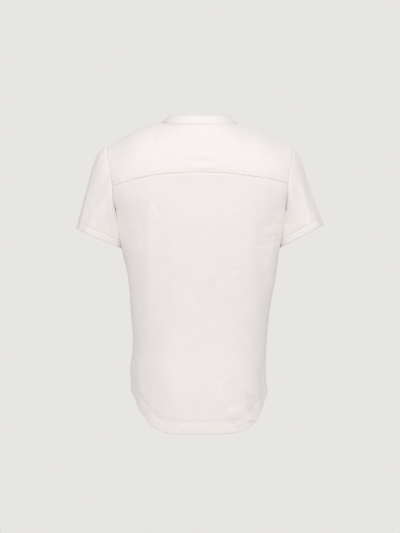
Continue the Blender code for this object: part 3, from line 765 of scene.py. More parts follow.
def seamDistance(name, index, reach=0.04):
    # distance from the seam and place along it, for the points with these numbers
    tree, step = seamTree(name)
    low, high = base[seamLines[name]].min(0) - reach, base[seamLines[name]].max(0) + reach
    distance, place = np.full(len(index), farAway), np.zeros(len(index))
    for k in np.nonzero(((base[index] > low) & (base[index] < high)).all(axis=1))[0]:
        _, nearest, away = tree.find(base[index[k]])
        distance[k], place[k] = away, nearest * step
    return distance, place


hashPrimes = (374761393, 668265263, 1442695041)
hashMixer = 1274126177


def smoothNoise(points, size, seed):
    # smooth noise between -1 and 1 on a lattice of this size, in one to three dimensions
    p = np.asarray(points) / size + seed * 17.31
    cell = np.floor(p).astype(np.int64)
    f = p - cell
    f = f**3 * (f * (f * 6 - 15) + 10)
    total = np.zeros(len(p))
    for corner in itertools.product((0, 1), repeat=p.shape[1]):
        c = cell + np.array(corner)
        mixed = sum(c[:, k] * prime for k, prime in zip(range(p.shape[1]), hashPrimes))
        mixed = (mixed & 0xFFFFFFFF) ^ ((mixed & 0xFFFFFFFF) >> 13)
        mixed = (mixed * hashMixer) & 0xFFFFFFFF
        value = ((mixed ^ (mixed >> 16)) & 0xFFFF) / 65535
        total += value * np.prod(np.where(np.array(corner), f, 1 - f), axis=1)
    return total * 2 - 1


def bump(x, width):
    return np.exp(-((x / width) ** 2))


def step(x, at, soft):
    return 1 / (1 + np.exp(-np.clip((x - at) / soft, -30, 30)))


press = {  # how seams, hems and their stitching mark the cloth
    "seam": (0.0012, 0.0014),  # depth and width
    "stitches": (0.0005, 0.0011),
    "hemStitches": (0.0005, 0.0008),
    "raised": 0.00045,
    "beside": 0.00015,
    "ripple": 0.0004,
    "hemTrough": 0.0008,
    "puckerSize": 0.0065,
    "puckerReach": 0.009,
    "topstitchPucker": 0.00034,
    "plainPucker": 0.00030,
    "hemPucker": 0.00032,
    "topstitchRow": 0.006,
    "bandRow": 0.0030,
}


def groove(distance, kind):
    depth, width = press[kind]
    return -depth * bump(distance, width)


def pucker(distance, place, seed):
    line, size = place[:, None], press["puckerSize"]
    wave = smoothNoise(line, size, seed) * 0.65 + smoothNoise(line, size * 2.1, seed + 3) * 0.5
    return wave * bump(distance - 0.003, press["puckerReach"])


def topstitched(distance, place, seed):
    row = press["topstitchRow"]
    marks = groove(distance, "seam") + groove(distance - row, "stitches")
    raised = press["raised"] * step(distance, 0.0009, 0.0003) * step(-distance, -row + 0.0006, 0.0004)
    return marks + raised + press["topstitchPucker"] * pucker(distance, place, seed)


def plainSide(distance, place, seed):
    beside = press["beside"] * bump(distance - 0.004, 0.0035)
    return groove(distance, "seam") + beside + press["plainPucker"] * pucker(distance, place, seed)


def hemmed(distance, place, seed, row):
    # a turned hem: its stitching, the slant ripples below it and a soft trough near it
    depth, trough = row["depth"], row["trough"]
    inside = step(-distance, -depth, 0.0005)
    slant = np.stack([place + distance * 0.7, np.zeros_like(place)], axis=1)
    ripple = smoothNoise(slant, 0.0085, seed) * np.sin(np.pi * np.clip(distance / depth, 0, 1))
    turned = inside * (row["thick"] + press["ripple"] * ripple)
    soft = -press["hemTrough"] * bump(distance - depth - trough, 0.0020 + 0.5 * trough)
    above = press["hemPucker"] * pucker(distance - depth, place, seed + 5)
    outward = row["flare"] * np.clip(1 - distance / depth, 0, 1)
    return groove(distance - depth, "hemStitches") + turned + soft + above + outward


underarm = table(
    ("piece", "seam", "side", "lean", "from", "to", "middle", "spread"),
    (
        ("sleeve_left", "armholeLeft", 1, -0.0150, 0.236, 0.206, -0.256, 0.070),
        ("sleeve_right", "armholeRight", -1, -0.0125, 0.236, 0.206, -0.262, 0.062),
        ("back", "armholeLeft", 1, 0.0105, 0.150, 0.172, -0.246, 0.048),
        ("back", "armholeRight", -1, 0.0115, 0.150, 0.172, -0.246, 0.048),
        ("front", "armholeLeft", 1, 0.0085, 0.150, 0.172, -0.246, 0.048),
        ("front", "armholeRight", -1, 0.0085, 0.150, 0.172, -0.246, 0.048),
    ),
)
leaning = {
    "reach": 0.12,
    "fade": 0.009,  # from the armhole seam
    "depth": 0.046,  # behind and before the middle, where they lean most
    "spread": 0.019,
    "drop": 0.5,  # of the lean of a sleeve
}
for row in underarm:  # below the armhole the sleeve and the body lean on each other
    index = np.setdiff1d(pieceOfPoint[row["piece"]], seamLines[row["seam"]])
    fromArm, _ = seamDistance(row["seam"], index, leaning["reach"])
    x, y, z = base[index].T
    near = np.clip((x * row["side"] - row["from"]) / (row["to"] - row["from"]), 0, 1)
    away = np.where(fromArm < farAway, np.clip(fromArm / leaning["fade"], 0, 1), 0)
    share = away**2 * (3 - 2 * away) * near**2 * (3 - 2 * near)
    share *= bump(np.abs(y) - leaning["depth"], leaning["spread"]) * bump(z - row["middle"], row["spread"])
    points[index, 0] += row["side"] * row["lean"] * share
    points[index, 2] += min(row["lean"], 0) * leaning["drop"] * share
base = points.copy()
normals = pointNormals(points)
baseNormals = normals.copy()

seamPlan = table(
    ("seam", "topstitched", "plain", "stitches"),
    (
        ("armholeLeft", ("yoke", "back", "front"), "sleeve_left", "armholeStitchesLeft"),
        ("armholeRight", ("yoke", "back", "front"), "sleeve_right", "armholeStitchesRight"),
        ("yokeSeam", ("yoke",), "back", "yokeStitches"),
        ("shoulderLeft", ("yoke",), "front", "shoulderStitchesLeft"),
        ("shoulderRight", ("yoke",), "front", "shoulderStitchesRight"),
        ("sideLeft", ("back",), "front", "sideStitchesLeft"),
        ("sideRight", ("back",), "front", "sideStitchesRight"),
        ("underLeft", (), "sleeve_left", None),
        ("underRight", (), "sleeve_right", None),
        ("bandBack", ("yoke",), "neckband", "neckStitchesBack"),
        ("bandFrontRight", ("front",), "neckband", "neckStitchesRight"),
        ("bandFrontLeft", ("front",), "neckband", "neckStitchesLeft"),
    ),
)
hemPlan = table(
    ("seam", "piece", "stitches", "depth", "trough", "flare", "thick"),
    (
        ("hemBack", "back", "hemStitchesBack", body["hemDepth"], 0.0070, 0.0010, 0.00055),
        ("hemFront", "front", "hemStitchesFront", body["hemDepth"], 0.0070, 0.0010, 0.00055),
        ("cuffLeft", "sleeve_left", "cuffStitchesLeft", sleeves["hem"], 0.0010, 0.0, 0.0003),
        ("cuffRight", "sleeve_right", "cuffStitchesRight", sleeves["hem"], 0.0010, 0.0, 0.0003),
    ),
)
height = np.zeros(len(points))
fromHem = np.full(len(points), 1.0)  # distance from a turned hem's edge, over its depth


def mark(seam, piece, shape, *facts):
    # of all the marks at a point the largest counts
    index = pieceOfPoint[piece]
    distance, place = seamDistance(seam, index)
    rise = shape(distance, place, list(seamLines).index(seam) + 1, *facts)
    rise = np.where(distance < farAway, rise, 0)
    height[index] = np.where(np.abs(rise) > np.abs(height[index]), rise, height[index])
    return index, distance


for row in seamPlan:
    for piece in row["topstitched"]:
        mark(row["seam"], piece, topstitched)
    mark(row["seam"], row["plain"], plainSide)
for row in hemPlan:
    index, distance = mark(row["seam"], row["piece"], hemmed, row)
    fromHem[index] = np.minimum(fromHem[index], distance / row["depth"])
print("seams pressed in")

# creases: soft troughs and ridges, listed one by one

creases = table(
    ("x", "z", "angle", "length", "width", "height"),
    (
        # back, as in the photograph
        (-0.005, -0.104, 90, 0.080, 0.0140, -0.0013),
        (0.000, -0.118, 88, 0.034, 0.0050, 0.0014),
        (-0.006, -0.106, 84, 0.030, 0.0052, -0.0020),
        (-0.010, -0.094, 94, 0.024, 0.0045, 0.0014),
        (0.006, -0.084, 98, 0.020, 0.0040, -0.0012),
        (-0.043, -0.048, 97, 0.014, 0.0038, -0.0010),
        (0.102, -0.215, -16, 0.026, 0.0060, -0.0011),
        (0.100, -0.285, -2, 0.070, 0.0110, 0.0008),
        (0.073, -0.265, -2, 0.060, 0.0120, 0.0008),
        (0.158, -0.355, -3, 0.080, 0.0140, 0.0036),
        (-0.170, -0.330, 4, 0.080, 0.0120, 0.0030),
        (-0.041, -0.370, -14, 0.020, 0.0045, -0.0016),
        (-0.016, -0.425, 10, 0.012, 0.0050, -0.0006),
        (-0.083, -0.345, 40, 0.007, 0.0050, 0.0009),
        (-0.057, -0.610, -38, 0.014, 0.0045, 0.0015),
        (-0.188, -0.222, 4, 0.060, 0.0120, 0.0024),
        (0.186, -0.220, -4, 0.055, 0.0120, 0.0014),
        (-0.176, -0.235, 80, 0.022, 0.0040, 0.0008),
        (-0.170, -0.250, 96, 0.026, 0.0040, -0.0008),
        (-0.168, -0.268, 86, 0.024, 0.0045, 0.0008),
        (-0.160, -0.292, 100, 0.026, 0.0045, -0.0008),
        (-0.158, -0.310, 84, 0.022, 0.0045, 0.0008),
        (-0.150, -0.625, 8, 0.055, 0.0130, -0.0048),
        (-0.128, -0.674, 32, 0.034, 0.0090, -0.0042),
        (-0.090, -0.668, 72, 0.034, 0.0110, -0.0018),
        (-0.118, -0.700, 52, 0.020, 0.0050, 0.0024),
        (0.160, -0.615, -3, 0.090, 0.0160, -0.0060),
        (0.122, -0.640, -16, 0.045, 0.0100, -0.0014),
    ),
)

# the same kind of folds and creases where the photograph doesn't show the garment

hiddenCreases = table(
    ("x", "z", "angle", "length", "width", "height"),
    (
        (-0.150, -0.175, 24, 0.055, 0.0075, -0.0022),
        (-0.138, -0.190, 30, 0.060, 0.0070, 0.0016),
        (0.152, -0.185, -22, 0.055, 0.0080, -0.0022),
        (0.140, -0.205, -30, 0.058, 0.0070, 0.0015),
        (0.085, -0.330, -5, 0.070, 0.0080, -0.0016),
        (0.112, -0.350, -3, 0.080, 0.0070, 0.0014),
        (-0.082, -0.400, 5, 0.080, 0.0085, -0.0016),
        (-0.060, -0.300, 12, 0.050, 0.0060, 0.0012),
        (0.035, -0.275, 70, 0.026, 0.0045, -0.0012),
        (-0.030, -0.262, -66, 0.024, 0.0045, -0.0011),
        (0.030, -0.610, 4, 0.080, 0.0090, -0.0018),
        (-0.100, -0.560, -5, 0.075, 0.0085, 0.0016),
        (0.112, -0.640, -28, 0.038, 0.0070, 0.0022),
        (-0.118, -0.660, 30, 0.034, 0.0065, -0.0020),
        (0.058, -0.075, -36, 0.040, 0.0060, 0.0009),
        (-0.060, -0.080, 34, 0.042, 0.0060, -0.0009),
        (0.005, -0.690, 85, 0.030, 0.0050, 0.0009),
    ),
)

# on the sleeves: turn is 0 on top, 90 behind, 180 underneath; down is from the armhole
sleeveCreases = table(
    ("side", "turn", "down", "angle", "length", "width", "height"),
    (
        (1, 8, 0.080, -8, 0.060, 0.0130, -0.0020),
        (1, 34, 0.095, 2, 0.070, 0.0160, -0.0018),
        (1, 62, 0.060, -20, 0.045, 0.0130, -0.0012),
        (1, 86, 0.085, 26, 0.042, 0.0120, 0.0011),
        (1, 112, 0.060, -8, 0.034, 0.0110, 0.0012),
        (1, 136, 0.040, 40, 0.030, 0.0080, 0.0008),
        (1, 46, 0.190, 70, 0.030, 0.0080, -0.0008),
        (1, 232, 0.045, 34, 0.034, 0.0070, -0.0018),
        (1, 264, 0.075, -24, 0.042, 0.0080, 0.0018),
        (1, 292, 0.090, 16, 0.050, 0.0090, -0.0022),
        (1, 326, 0.085, -8, 0.055, 0.0100, 0.0018),
        (-1, 6, 0.090, 8, 0.055, 0.0120, 0.0012),
        (-1, 24, 0.085, -12, 0.060, 0.0120, -0.0012),
        (-1, 60, 0.085, -8, 0.055, 0.0130, 0.0020),
        (-1, 84, 0.060, 22, 0.042, 0.0120, -0.0010),
        (-1, 110, 0.048, 6, 0.034, 0.0110, -0.0018),
        (-1, 132, 0.060, 36, 0.030, 0.0090, 0.0008),
        (-1, 228, 0.040, -36, 0.032, 0.0065, 0.0014),
        (-1, 262, 0.080, 24, 0.042, 0.0080, -0.0020),
        (-1, 296, 0.085, -14, 0.050, 0.0090, 0.0020),
        (-1, 330, 0.090, 10, 0.055, 0.0100, -0.0020),
    ),
)


crease = {
    "facing": 2.2,  # at full height where the normal points this way by 1 / 2.2 or more
    "waves": ((0.35, 2.3, 1), (0.2, 5.1, 2)),  # its wander: size, pace and shift from the row before
    "reach": (2.4, 5),  # in its own lengths and widths
    "uneven": 0.3,
    "blunt": 2.6,
    "beside": 0.45,  # the fainter one beside it
    "sleeveBeside": 0.4,
}


def creaseShape(across, beside):
    return np.exp(-across**2) - beside * np.exp(-(((across - 1.9) / 1.5) ** 2))


def wander(run, k, waves):
    return sum(size * np.sin(run * pace + shift * k) for size, pace, shift in waves)


def creaseHeight(rows, facing, seed):
    # a trough or ridge with a fainter one beside it, uneven along its run
    total = np.zeros(len(base))
    facing = np.clip(baseNormals[:, 1] * facing * crease["facing"], 0, 1)
    for k, row in enumerate(rows):
        run, across = alongAndAcross(row, base[:, 0] - row["x"], base[:, 2] - row["z"])
        across = across - wander(run, k, crease["waves"])
        near = (np.abs(run) < crease["reach"][0]) & (np.abs(across) < crease["reach"][1])
        uneven = 1 + crease["uneven"] * np.sin(run * 4 + seed + k)
        share = np.exp(-np.abs(run) ** crease["blunt"]) * uneven
        shape = creaseShape(across, crease["beside"])
        total += np.where(near, row["height"] * facing * share * shape, 0)
    return total


def sleeveCreaseHeight(name, side):
    index = seamRow[name]
    rows = base[index[:, :-1]]
    ring, under = armRing()
    turn = np.degrees(turnAngles(ring, under))
    if side < 0:
        turn = np.concatenate([turn[:1], turn[:0:-1]])
    down = np.concatenate([[0], np.cumsum(np.linalg.norm(np.diff(rows, axis=0), axis=2).mean(1))])
    total = np.zeros(rows.shape[:2])
    for k, row in enumerate(r for r in sleeveCreases if r["side"] == side):
        away = (turn - row["turn"] + 180) % 360 - 180
        right = (np.radians(away) * sleeves["armRadius"] * side)[None, :]
        run, across = alongAndAcross(row, right, (down - row["down"])[:, None])
        across = across - wander(run, k, crease["waves"][:1])
        shape = creaseShape(across, crease["sleeveBeside"])
        total += row["height"] * np.exp(-np.abs(run) ** crease["blunt"]) * shape
    return index[:, :-1].ravel(), total.ravel()


height += creaseHeight(creases, 1, 1) + creaseHeight(hiddenCreases, -1, 2)
for name, side in (("sleeveLeft", 1), ("sleeveRight", -1)):
    index, rise = sleeveCreaseHeight(name, side)
    laid = np.zeros(len(points))
    laid[index] = rise
    near = np.unique(index)
    armDistance, _ = seamDistance("armhole" + name.removeprefix("sleeve"), near)
    height[near] += laid[near] * np.clip(armDistance / sleeves["creaseFade"], 0, 1)

# the crumple of washed linen: faint, longer down the cloth than across, least on the yoke

crumple = {
    "drape": 0.00055,
    "wrinkle": 0.00020,
    "fine": 0.00007,
    "bend": 0.006,
    "bendSize": 0.035,
    "drapeSize": 0.021,
    "ridgeSize": 0.017,
    "levelSize": 0.014,
    "patchSize": 0.07,
    "fineSize": 0.0065,
    "slant": ((0.86, 0.1, 0.35), (-0.1, 0.95, 0.2), (-0.42, -0.15, 0.55)),
    "yokeShare": 0.45,
    "bandShare": 0.25,
    "sleeveShare": 1.3,
}


def crumpleHeight(points):
    around = np.stack([points[:, 0], points[:, 1] * 1.1, points[:, 2] * 0.30], axis=1)
    bend = np.stack([smoothNoise(points, crumple["bendSize"], seed) for seed in (11, 12, 13)], axis=1)
    bend = crumple["bend"] * bend
    drape = smoothNoise(around + bend, crumple["drapeSize"], 1)
    slanted = points @ np.array(crumple["slant"])
    ridge = 1 - np.abs(smoothNoise(slanted + bend, crumple["ridgeSize"], 2)) * 2
    level = points * np.array((0.5, 0.5, 1.0))
    other = 1 - np.abs(smoothNoise(level + bend, crumple["levelSize"], 4)) * 2
    where = 0.5 + 0.5 * smoothNoise(points, crumple["patchSize"], 5)
    wrinkle = crumple["wrinkle"] * (ridge * where + other * (1 - where))
    fine = crumple["fine"] * smoothNoise(points, crumple["fineSize"], 6)
    return crumple["drape"] * drape + wrinkle + fine


share = np.ones(len(points))
share[pieceOfPoint["yoke"]] = crumple["yokeShare"]
share[pieceOfPoint["neckband"]] = crumple["bandShare"]
for name in ("sleeve_left", "sleeve_right"):
    share[pieceOfPoint[name]] = crumple["sleeveShare"]
height += share * crumpleHeight(base)
points = base + baseNormals * height[:, None]


def facesOf(names):
    return faces[np.isin(facePiece, [pieceNames.index(name) for name in names])]


def treeOf(names):
    return BVHTree.FromPolygons(points.tolist(), facesOf(names).tolist())


contact = {
    "gap": 0.00015,
    "soft": 0.0012,
    "fade": 0.006,  # from the armhole seam
    "reach": 0.016,
    "startHeight": -0.165,
    "fullHeight": -0.205,
}


def keepClear(sleeve, seam):
    # the sleeve rolls off the body where the two lie against each other, under the arm
    torso = treeOf(("back", "front", "yoke"))
    fall = contact["fullHeight"] - contact["startHeight"]
    index = np.setdiff1d(pieceOfPoint[sleeve], seamLines[seam])
    fromArm, _ = seamDistance(seam, index)
    for k, away in zip(index, fromArm):
        place, normal, _, _ = torso.find_nearest(Vector(points[k]), contact["reach"])
        if place is not None:
            share = min(away / contact["fade"], 1)
            roll = contact["soft"] * share + 0.00001
            above = (Vector(points[k]) - place).dot(normal) - contact["gap"] * share
            pressed = roll * np.logaddexp(0, above / roll)
            low = np.clip((points[k][2] - contact["startHeight"]) / fall, 0, 1)
            points[k] += np.array(normal) * (pressed - above) * low**2 * (3 - 2 * low)


keepClear("sleeve_left", "armholeLeft")
keepClear("sleeve_right", "armholeRight")
normals = pointNormals(points)
print("creases and crumple laid in")

# materials

def socket(group, name, kind, way, value=None):
    made = group.interface.new_socket(name=name, in_out=way, socket_type=kind)
    if value is not None:
        made.default_value = value
    return made


def setInputs(tree, node, values):
    for key, value in values.items():
        if isinstance(value, bpy.types.NodeSocket):
            tree.links.new(value, node.inputs[key])
        else:
            node.inputs[key].default_value = value


def addNode(tree, kind, values=None, **settings):
    # a node with its inputs set or linked, placed to the right of the last one
    count = len(tree.nodes)
    node = tree.nodes.new(kind)
    node.location = (180 * (count % 12) - 1400, -220 * (count // 12))
    for key, value in settings.items():
        setattr(node, key, value)
    setInputs(tree, node, values or {})
    return node


def maths(tree, operation, *values):
    return addNode(tree, "ShaderNodeMath", dict(enumerate(values)), operation=operation).outputs[0]


def vectors(tree, operation, *values):
    return addNode(tree, "ShaderNodeVectorMath", dict(enumerate(values)), operation=operation).outputs[0]


def noise(tree, vector, scale, detail):
    return addNode(tree, "ShaderNodeTexNoise", {"Vector": vector, "Scale": scale, "Detail": detail}).outputs


def newMaterial(name):
    material = bpy.data.materials.new(name)
    material.use_nodes = True
    return material, material.node_tree, material.node_tree.nodes["Principled BSDF"]


weave = {
    "waverScale": 260.0,
    "waver": (0.00022, 0.00022, 0.0),  # metres, along the cloth
    "contrast": 2.5,
    "slubStretches": ((1400.0, 60.0, 1.0), (50.0, 1300.0, 1.0)),
    "slubStart": 0.60,
    "slubGain": 5.0,
    "slubHeight": 0.9,
    "slubTone": 0.35,
    "cloudScale": 28.0,
    "cloudTone": 0.9,
    # painted light on the thread crowns and painted shade in the gaps between threads
    "paintedThreadShade": 0.35,
}


def linenWeaveGroup():
    # plain weave with slubs from the cloth's own coordinates, in metres; its tone holds the cloth's mottle
    # and slubs, with painted shade in the gaps between threads and painted light on their crowns
    group = bpy.data.node_groups.new("linenWeave", "ShaderNodeTree")
    socket(group, "Cloth", "NodeSocketVector", "INPUT")
    socket(group, "Threads", "NodeSocketFloat", "INPUT", 1500.0)
    socket(group, "Slubs", "NodeSocketFloat", "INPUT", 0.6)
    socket(group, "Height", "NodeSocketFloat", "OUTPUT")
    socket(group, "ToneAndThreadShade", "NodeSocketFloat", "OUTPUT")
    inlet, outlet = addNode(group, "NodeGroupInput"), addNode(group, "NodeGroupOutput")
    flat, threads, slubs = inlet.outputs["Cloth"], inlet.outputs["Threads"], inlet.outputs["Slubs"]

    def calc(operation, *values):
        return maths(group, operation, *values)

    def between01(value):
        return calc("MINIMUM", calc("MAXIMUM", value, 0.0), 1.0)

    waver = noise(group, flat, weave["waverScale"], 2.0)["Color"]
    moved = vectors(group, "MULTIPLY", waver, weave["waver"])
    split = addNode(group, "ShaderNodeSeparateXYZ", {0: vectors(group, "ADD", flat, moved)})
    waves = []
    for axis in (0, 1):
        waves.append(calc("SINE", calc("MULTIPLY", calc("MULTIPLY", split.outputs[axis], threads), math.pi)))
    warp, weft = waves
    over = between01(calc("MULTIPLY_ADD", calc("MULTIPLY", warp, weft), weave["contrast"], 0.5))
    warpHigh = calc("MULTIPLY", calc("ABSOLUTE", warp), over)
    weftHigh = calc("MULTIPLY", calc("ABSOLUTE", weft), calc("SUBTRACT", 1.0, over))
    high = calc("ADD", warpHigh, weftHigh)
    streaks = []
    for stretch in weave["slubStretches"]:
        streak = noise(group, vectors(group, "MULTIPLY", flat, stretch), 1.0, 1.0)[0]
        thick = calc("MAXIMUM", calc("SUBTRACT", streak, weave["slubStart"]), 0.0)
        streaks.append(calc("MULTIPLY", thick, weave["slubGain"]))
    slub = calc("MULTIPLY", calc("MINIMUM", calc("ADD", *streaks), 1.0), slubs)
    cloud = calc("SUBTRACT", noise(group, flat, weave["cloudScale"], 4.0)[0], 0.5)
    tone = calc("MULTIPLY_ADD", cloud, weave["cloudTone"], 0.5)
    # painted shade: darker in the gaps between threads, lighter on their crowns, following the same height
    # as the bump
    tone = calc("MULTIPLY_ADD", calc("SUBTRACT", high, 0.6), weave["paintedThreadShade"], tone)
    tone = between01(calc("MULTIPLY_ADD", slub, weave["slubTone"], tone))
    raised = calc("MULTIPLY_ADD", slub, weave["slubHeight"], high)
    setInputs(group, outlet, {"Height": raised, "ToneAndThreadShade": tone})
    return group


def washedColorGroup():
    # the colour of washed cloth, a little lighter or darker by its mottle and slubs, and by the painted
    # shade in the gaps of its weave
    group = bpy.data.node_groups.new("washedColor", "ShaderNodeTree")
    socket(group, "Color", "NodeSocketColor", "INPUT", (0.8, 0.8, 0.8, 1))
    socket(group, "ToneAndThreadShade", "NodeSocketFloat", "INPUT", 0.5)
    socket(group, "Spread", "NodeSocketFloat", "INPUT", 0.05)
    socket(group, "Color", "NodeSocketColor", "OUTPUT")
    inlet, outlet = addNode(group, "NodeGroupInput"), addNode(group, "NodeGroupOutput")
    around = maths(group, "SUBTRACT", inlet.outputs["ToneAndThreadShade"], 0.5)
    value = maths(group, "MULTIPLY_ADD", around, inlet.outputs["Spread"], 1.0)
    shade = addNode(group, "ShaderNodeHueSaturation", {"Value": value, "Color": inlet.outputs["Color"]})
    setInputs(group, outlet, {"Color": shade.outputs[0]})
    return group


linenWeave, washedColor = linenWeaveGroup(), washedColorGroup()
linens = table(
    ("name", "color", "threads", "slubs", "spread", "depth"),
    (
        ("bodyLinen", (0.862, 0.822, 0.801), 1500.0, 0.8, 0.07, 0.00010),
        ("yokeLinen", (0.864, 0.826, 0.806), 1500.0, 0.7, 0.06, 0.00009),
        ("bandLinen", (0.864, 0.826, 0.806), 1550.0, 0.5, 0.05, 0.00008),
        ("thread", (0.850, 0.812, 0.790), 5200.0, 0.1, 0.10, 0.00003),
    ),
)


def linenMaterial(row):
    material, tree, shader = newMaterial(row["name"])
    flat = addNode(tree, "ShaderNodeUVMap", uv_map="cloth").outputs[0]
    sockets = {"Cloth": flat, "Threads": row["threads"], "Slubs": row["slubs"]}
    woven = addNode(tree, "ShaderNodeGroup", sockets, node_tree=linenWeave).outputs
    sockets = {"Color": (*row["color"], 1), "Spread": row["spread"], "ToneAndThreadShade": woven["ToneAndThreadShade"]}
    shade = addNode(tree, "ShaderNodeGroup", sockets, node_tree=washedColor)
    bumps = {"Height": woven["Height"], "Distance": row["depth"], "Strength": 0.8}
    looks = {
        "Base Color": shade.outputs["Color"],
        "Normal": addNode(tree, "ShaderNodeBump", bumps).outputs[0],
        "Roughness": 0.88,
        "Specular IOR Level": 0.25,
        "Sheen Weight": 0.12,
        "Sheen Roughness": 0.55,
    }
    setInputs(tree, shader, looks)
    return material


def hornMaterial():
    material, tree, shader = newMaterial("buttonHorn")
    place = addNode(tree, "ShaderNodeTexCoord").outputs["Object"]
    cloud = noise(tree, place, 420.0, 5.0)[0]
    cloud.node.inputs["Distortion"].default_value = 1.4
    ramp = addNode(tree, "ShaderNodeValToRGB", {0: cloud})
    first, last = ramp.color_ramp.elements
    first.position, last.position = 0.30, 0.72
    first.color, last.color = (0.66, 0.58, 0.47, 1), (0.84, 0.79, 0.71, 1)
    rough = addNode(tree, "ShaderNodeMapRange", {0: cloud, 3: 0.24, 4: 0.40}).outputs[0]
    looks = {"Base Color": ramp.outputs[0], "Roughness": rough, "Coat Weight": 0.3, "Coat Roughness": 0.2}
    setInputs(tree, shader, looks)
    return material


materials = {row["name"]: linenMaterial(row) for row in linens}
materials["buttonHorn"] = hornMaterial()
print("materials ready")

# the cloth pieces: thin shells with their edges folded over

def placed(name, data):
    made = bpy.data.objects.new(name, data)
    bpy.context.scene.collection.objects.link(made)
    return made


def meshObject(name, verts, polygons, uv, material):
    mesh = bpy.data.meshes.new(name)
    mesh.from_pydata(verts.tolist(), [], polygons.tolist() if hasattr(polygons, "tolist") else polygons)
    if uv is not None:
        layer = mesh.uv_layers.new(name="cloth")
        layer.data.foreach_set("uv", np.asarray(uv, np.float32).ravel())
    mesh.polygons.foreach_set("use_smooth", np.full(len(mesh.polygons), True))
    mesh.materials.append(materials[material])
    mesh.update()
    made = placed(name, mesh)
    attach(made, "root")
    return made


def gridUV(rows, upsideRow):
    # metres across and down the cloth, from the middle column and the given row
    middle = rows.shape[1] // 2
    across = runLengths(rows[rows.shape[0] // 2])
    down = runLengths(rows[:, middle])
    u, v = np.meshgrid(across - across[middle], down[upsideRow] - down)
    return np.stack([u, v], axis=-1).reshape(-1, 2)


upperGrids = ("upperBack", "stripLeft", "stripRight", "frontLeft", "frontRight", "placket")
uvOf = np.zeros((len(corners), 2))
for _, name, rows in grids:
    uvOf[gridIndex[name].ravel()] = gridUV(rows, -1 if name in upperGrids else 0)

pieceRows = table(
    ("piece", "object", "material", "flat", "area"),
    (
        ("back", "backPanel", "bodyLinen", (0.60, 0.68), 0.300),
        ("front", "frontPanel", "bodyLinen", (0.60, 0.78), 0.345),
        ("yoke", "yokePanel", "yokeLinen", (0.50, 0.25), 0.092),
        ("placket_under", "placketUnder", "bandLinen", (0.032, 0.155), None),
        ("sleeve_left", "sleeveLeftPanel", "bodyLinen", (0.46, 0.27), 0.062),
        ("sleeve_right", "sleeveRightPanel", "bodyLinen", (0.46, 0.27), 0.060),
        ("neckband", "neckbandPanel", "bandLinen", (0.52, 0.030), None),
    ),
)
pieceSheets = {row["piece"]: row for row in pieceRows}
isFree = np.zeros(len(points), bool)
for name in ("hemBack", "hemFront", "cuffLeft", "cuffRight", "bandTop"):
    isFree[seamLines[name]] = True


def clothShell(piece):
    mine = facePiece == pieceNames.index(piece)
    quads, uv = faces[mine], uvOf[faceCorners[mine]]
    used, local = np.unique(quads, return_inverse=True)
    local = local.reshape(quads.shape)
    thick = np.full(len(used), cloth["thickness"])
    thick += (cloth["hemThickness"] - cloth["thickness"]) * step(-fromHem[used], -1.0, cloth["hemSoft"])
    if piece == "neckband":
        thick[:] = cloth["hemThickness"]
    outer = points[used]
    inner = outer - normals[used] * thick[:, None]
    edges = np.stack([local, np.roll(local, -1, axis=1)], axis=-1).reshape(-1, 2)
    edgeUV = np.stack([uv, np.roll(uv, -1, axis=1)], axis=2).reshape(-1, 2, 2)
    _, number, times = np.unique(np.sort(edges, axis=1), axis=0, return_inverse=True, return_counts=True)
    border = times[number.reshape(-1)] == 1
    edges, edgeUV = edges[border], edgeUV[border]
    outward = np.zeros_like(outer)
    way = np.cross(outer[edges[:, 1]] - outer[edges[:, 0]], normals[used][edges[:, 0]])
    for k in (0, 1):
        np.add.at(outward, edges[:, k], way)
    rim = np.unique(edges)
    rimOf = np.full(len(used), -1)
    rimOf[rim] = 2 * len(used) + np.arange(len(rim))
    swell = np.where(isFree[used[rim]], cloth["swell"], 0.0) * thick[rim]
    middle = (outer[rim] + inner[rim]) / 2 + unit(outward[rim]) * swell[:, None]
    verts = np.concatenate([outer, inner, middle])
    count = len(used)
    a, b = edges[:, 0], edges[:, 1]
    rimOuter = np.stack([b, a, rimOf[a], rimOf[b]], axis=1)
    rimInner = np.stack([rimOf[b], rimOf[a], a + count, b + count], axis=1)
    polygons = np.concatenate([local, local[:, ::-1] + count, rimOuter, rimInner])
    rimUV = edgeUV[:, [1, 0, 0, 1]]
    allUV = np.concatenate([uv, uv[:, ::-1], rimUV, rimUV])
    facts = pieceSheets[piece]
    made = meshObject(facts["object"], verts, polygons, allUV, facts["material"])
    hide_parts(piece)
    return made


shells = {piece: clothShell(piece) for piece in pieceNames}
print("cloth pieces:", sum(len(made.data.polygons) for made in shells.values()), "faces")

# placket: the over strip lies on the front, with rounded edges and edge stitching

strip = {
    "thickness": 0.0012,
    "thinnest": 0.0002,
    "roundEdge": 0.0012,
    "underBand": 0.004,  # its top end isn't rounded, because it lies under the band
    "rows": 120,
    "stitchIn": 0.0022,
    "stitchTop": 0.002,
    "crossRows": (0.001, 0.012),  # cross stitching above the foot
    "edgeGroove": 0.0004,
    "crossGroove": 0.0003,
    "grooveWidth": 0.0008,
    "pucker": 0.00028,
    "puckerSeed": 31,
    "flat": (0.036, 0.170),
}

frontTree = treeOf(("front", "placket_under"))
placketMiddle = points[seamRow["placket"][:, (seamRow["placket"].shape[1] - 1) // 2]]
foot = placketMiddle[-1, 2]
stripTop = placketMiddle[0, 2] - placket["stripDrop"]
stripBottom = foot - placket["stripTail"]


def pointOn(tree, x, z):
    # the place that shows from the front on this surface, and its normal
    found, normal = tree.ray_cast(Vector((x, -1.0, z)), Vector((0, 1, 0)))[:2]
    return np.array(found), np.array(normal)


def stripMiddle(z):
    return np.interp(z, placketMiddle[::-1, 2], placketMiddle[::-1, 0])


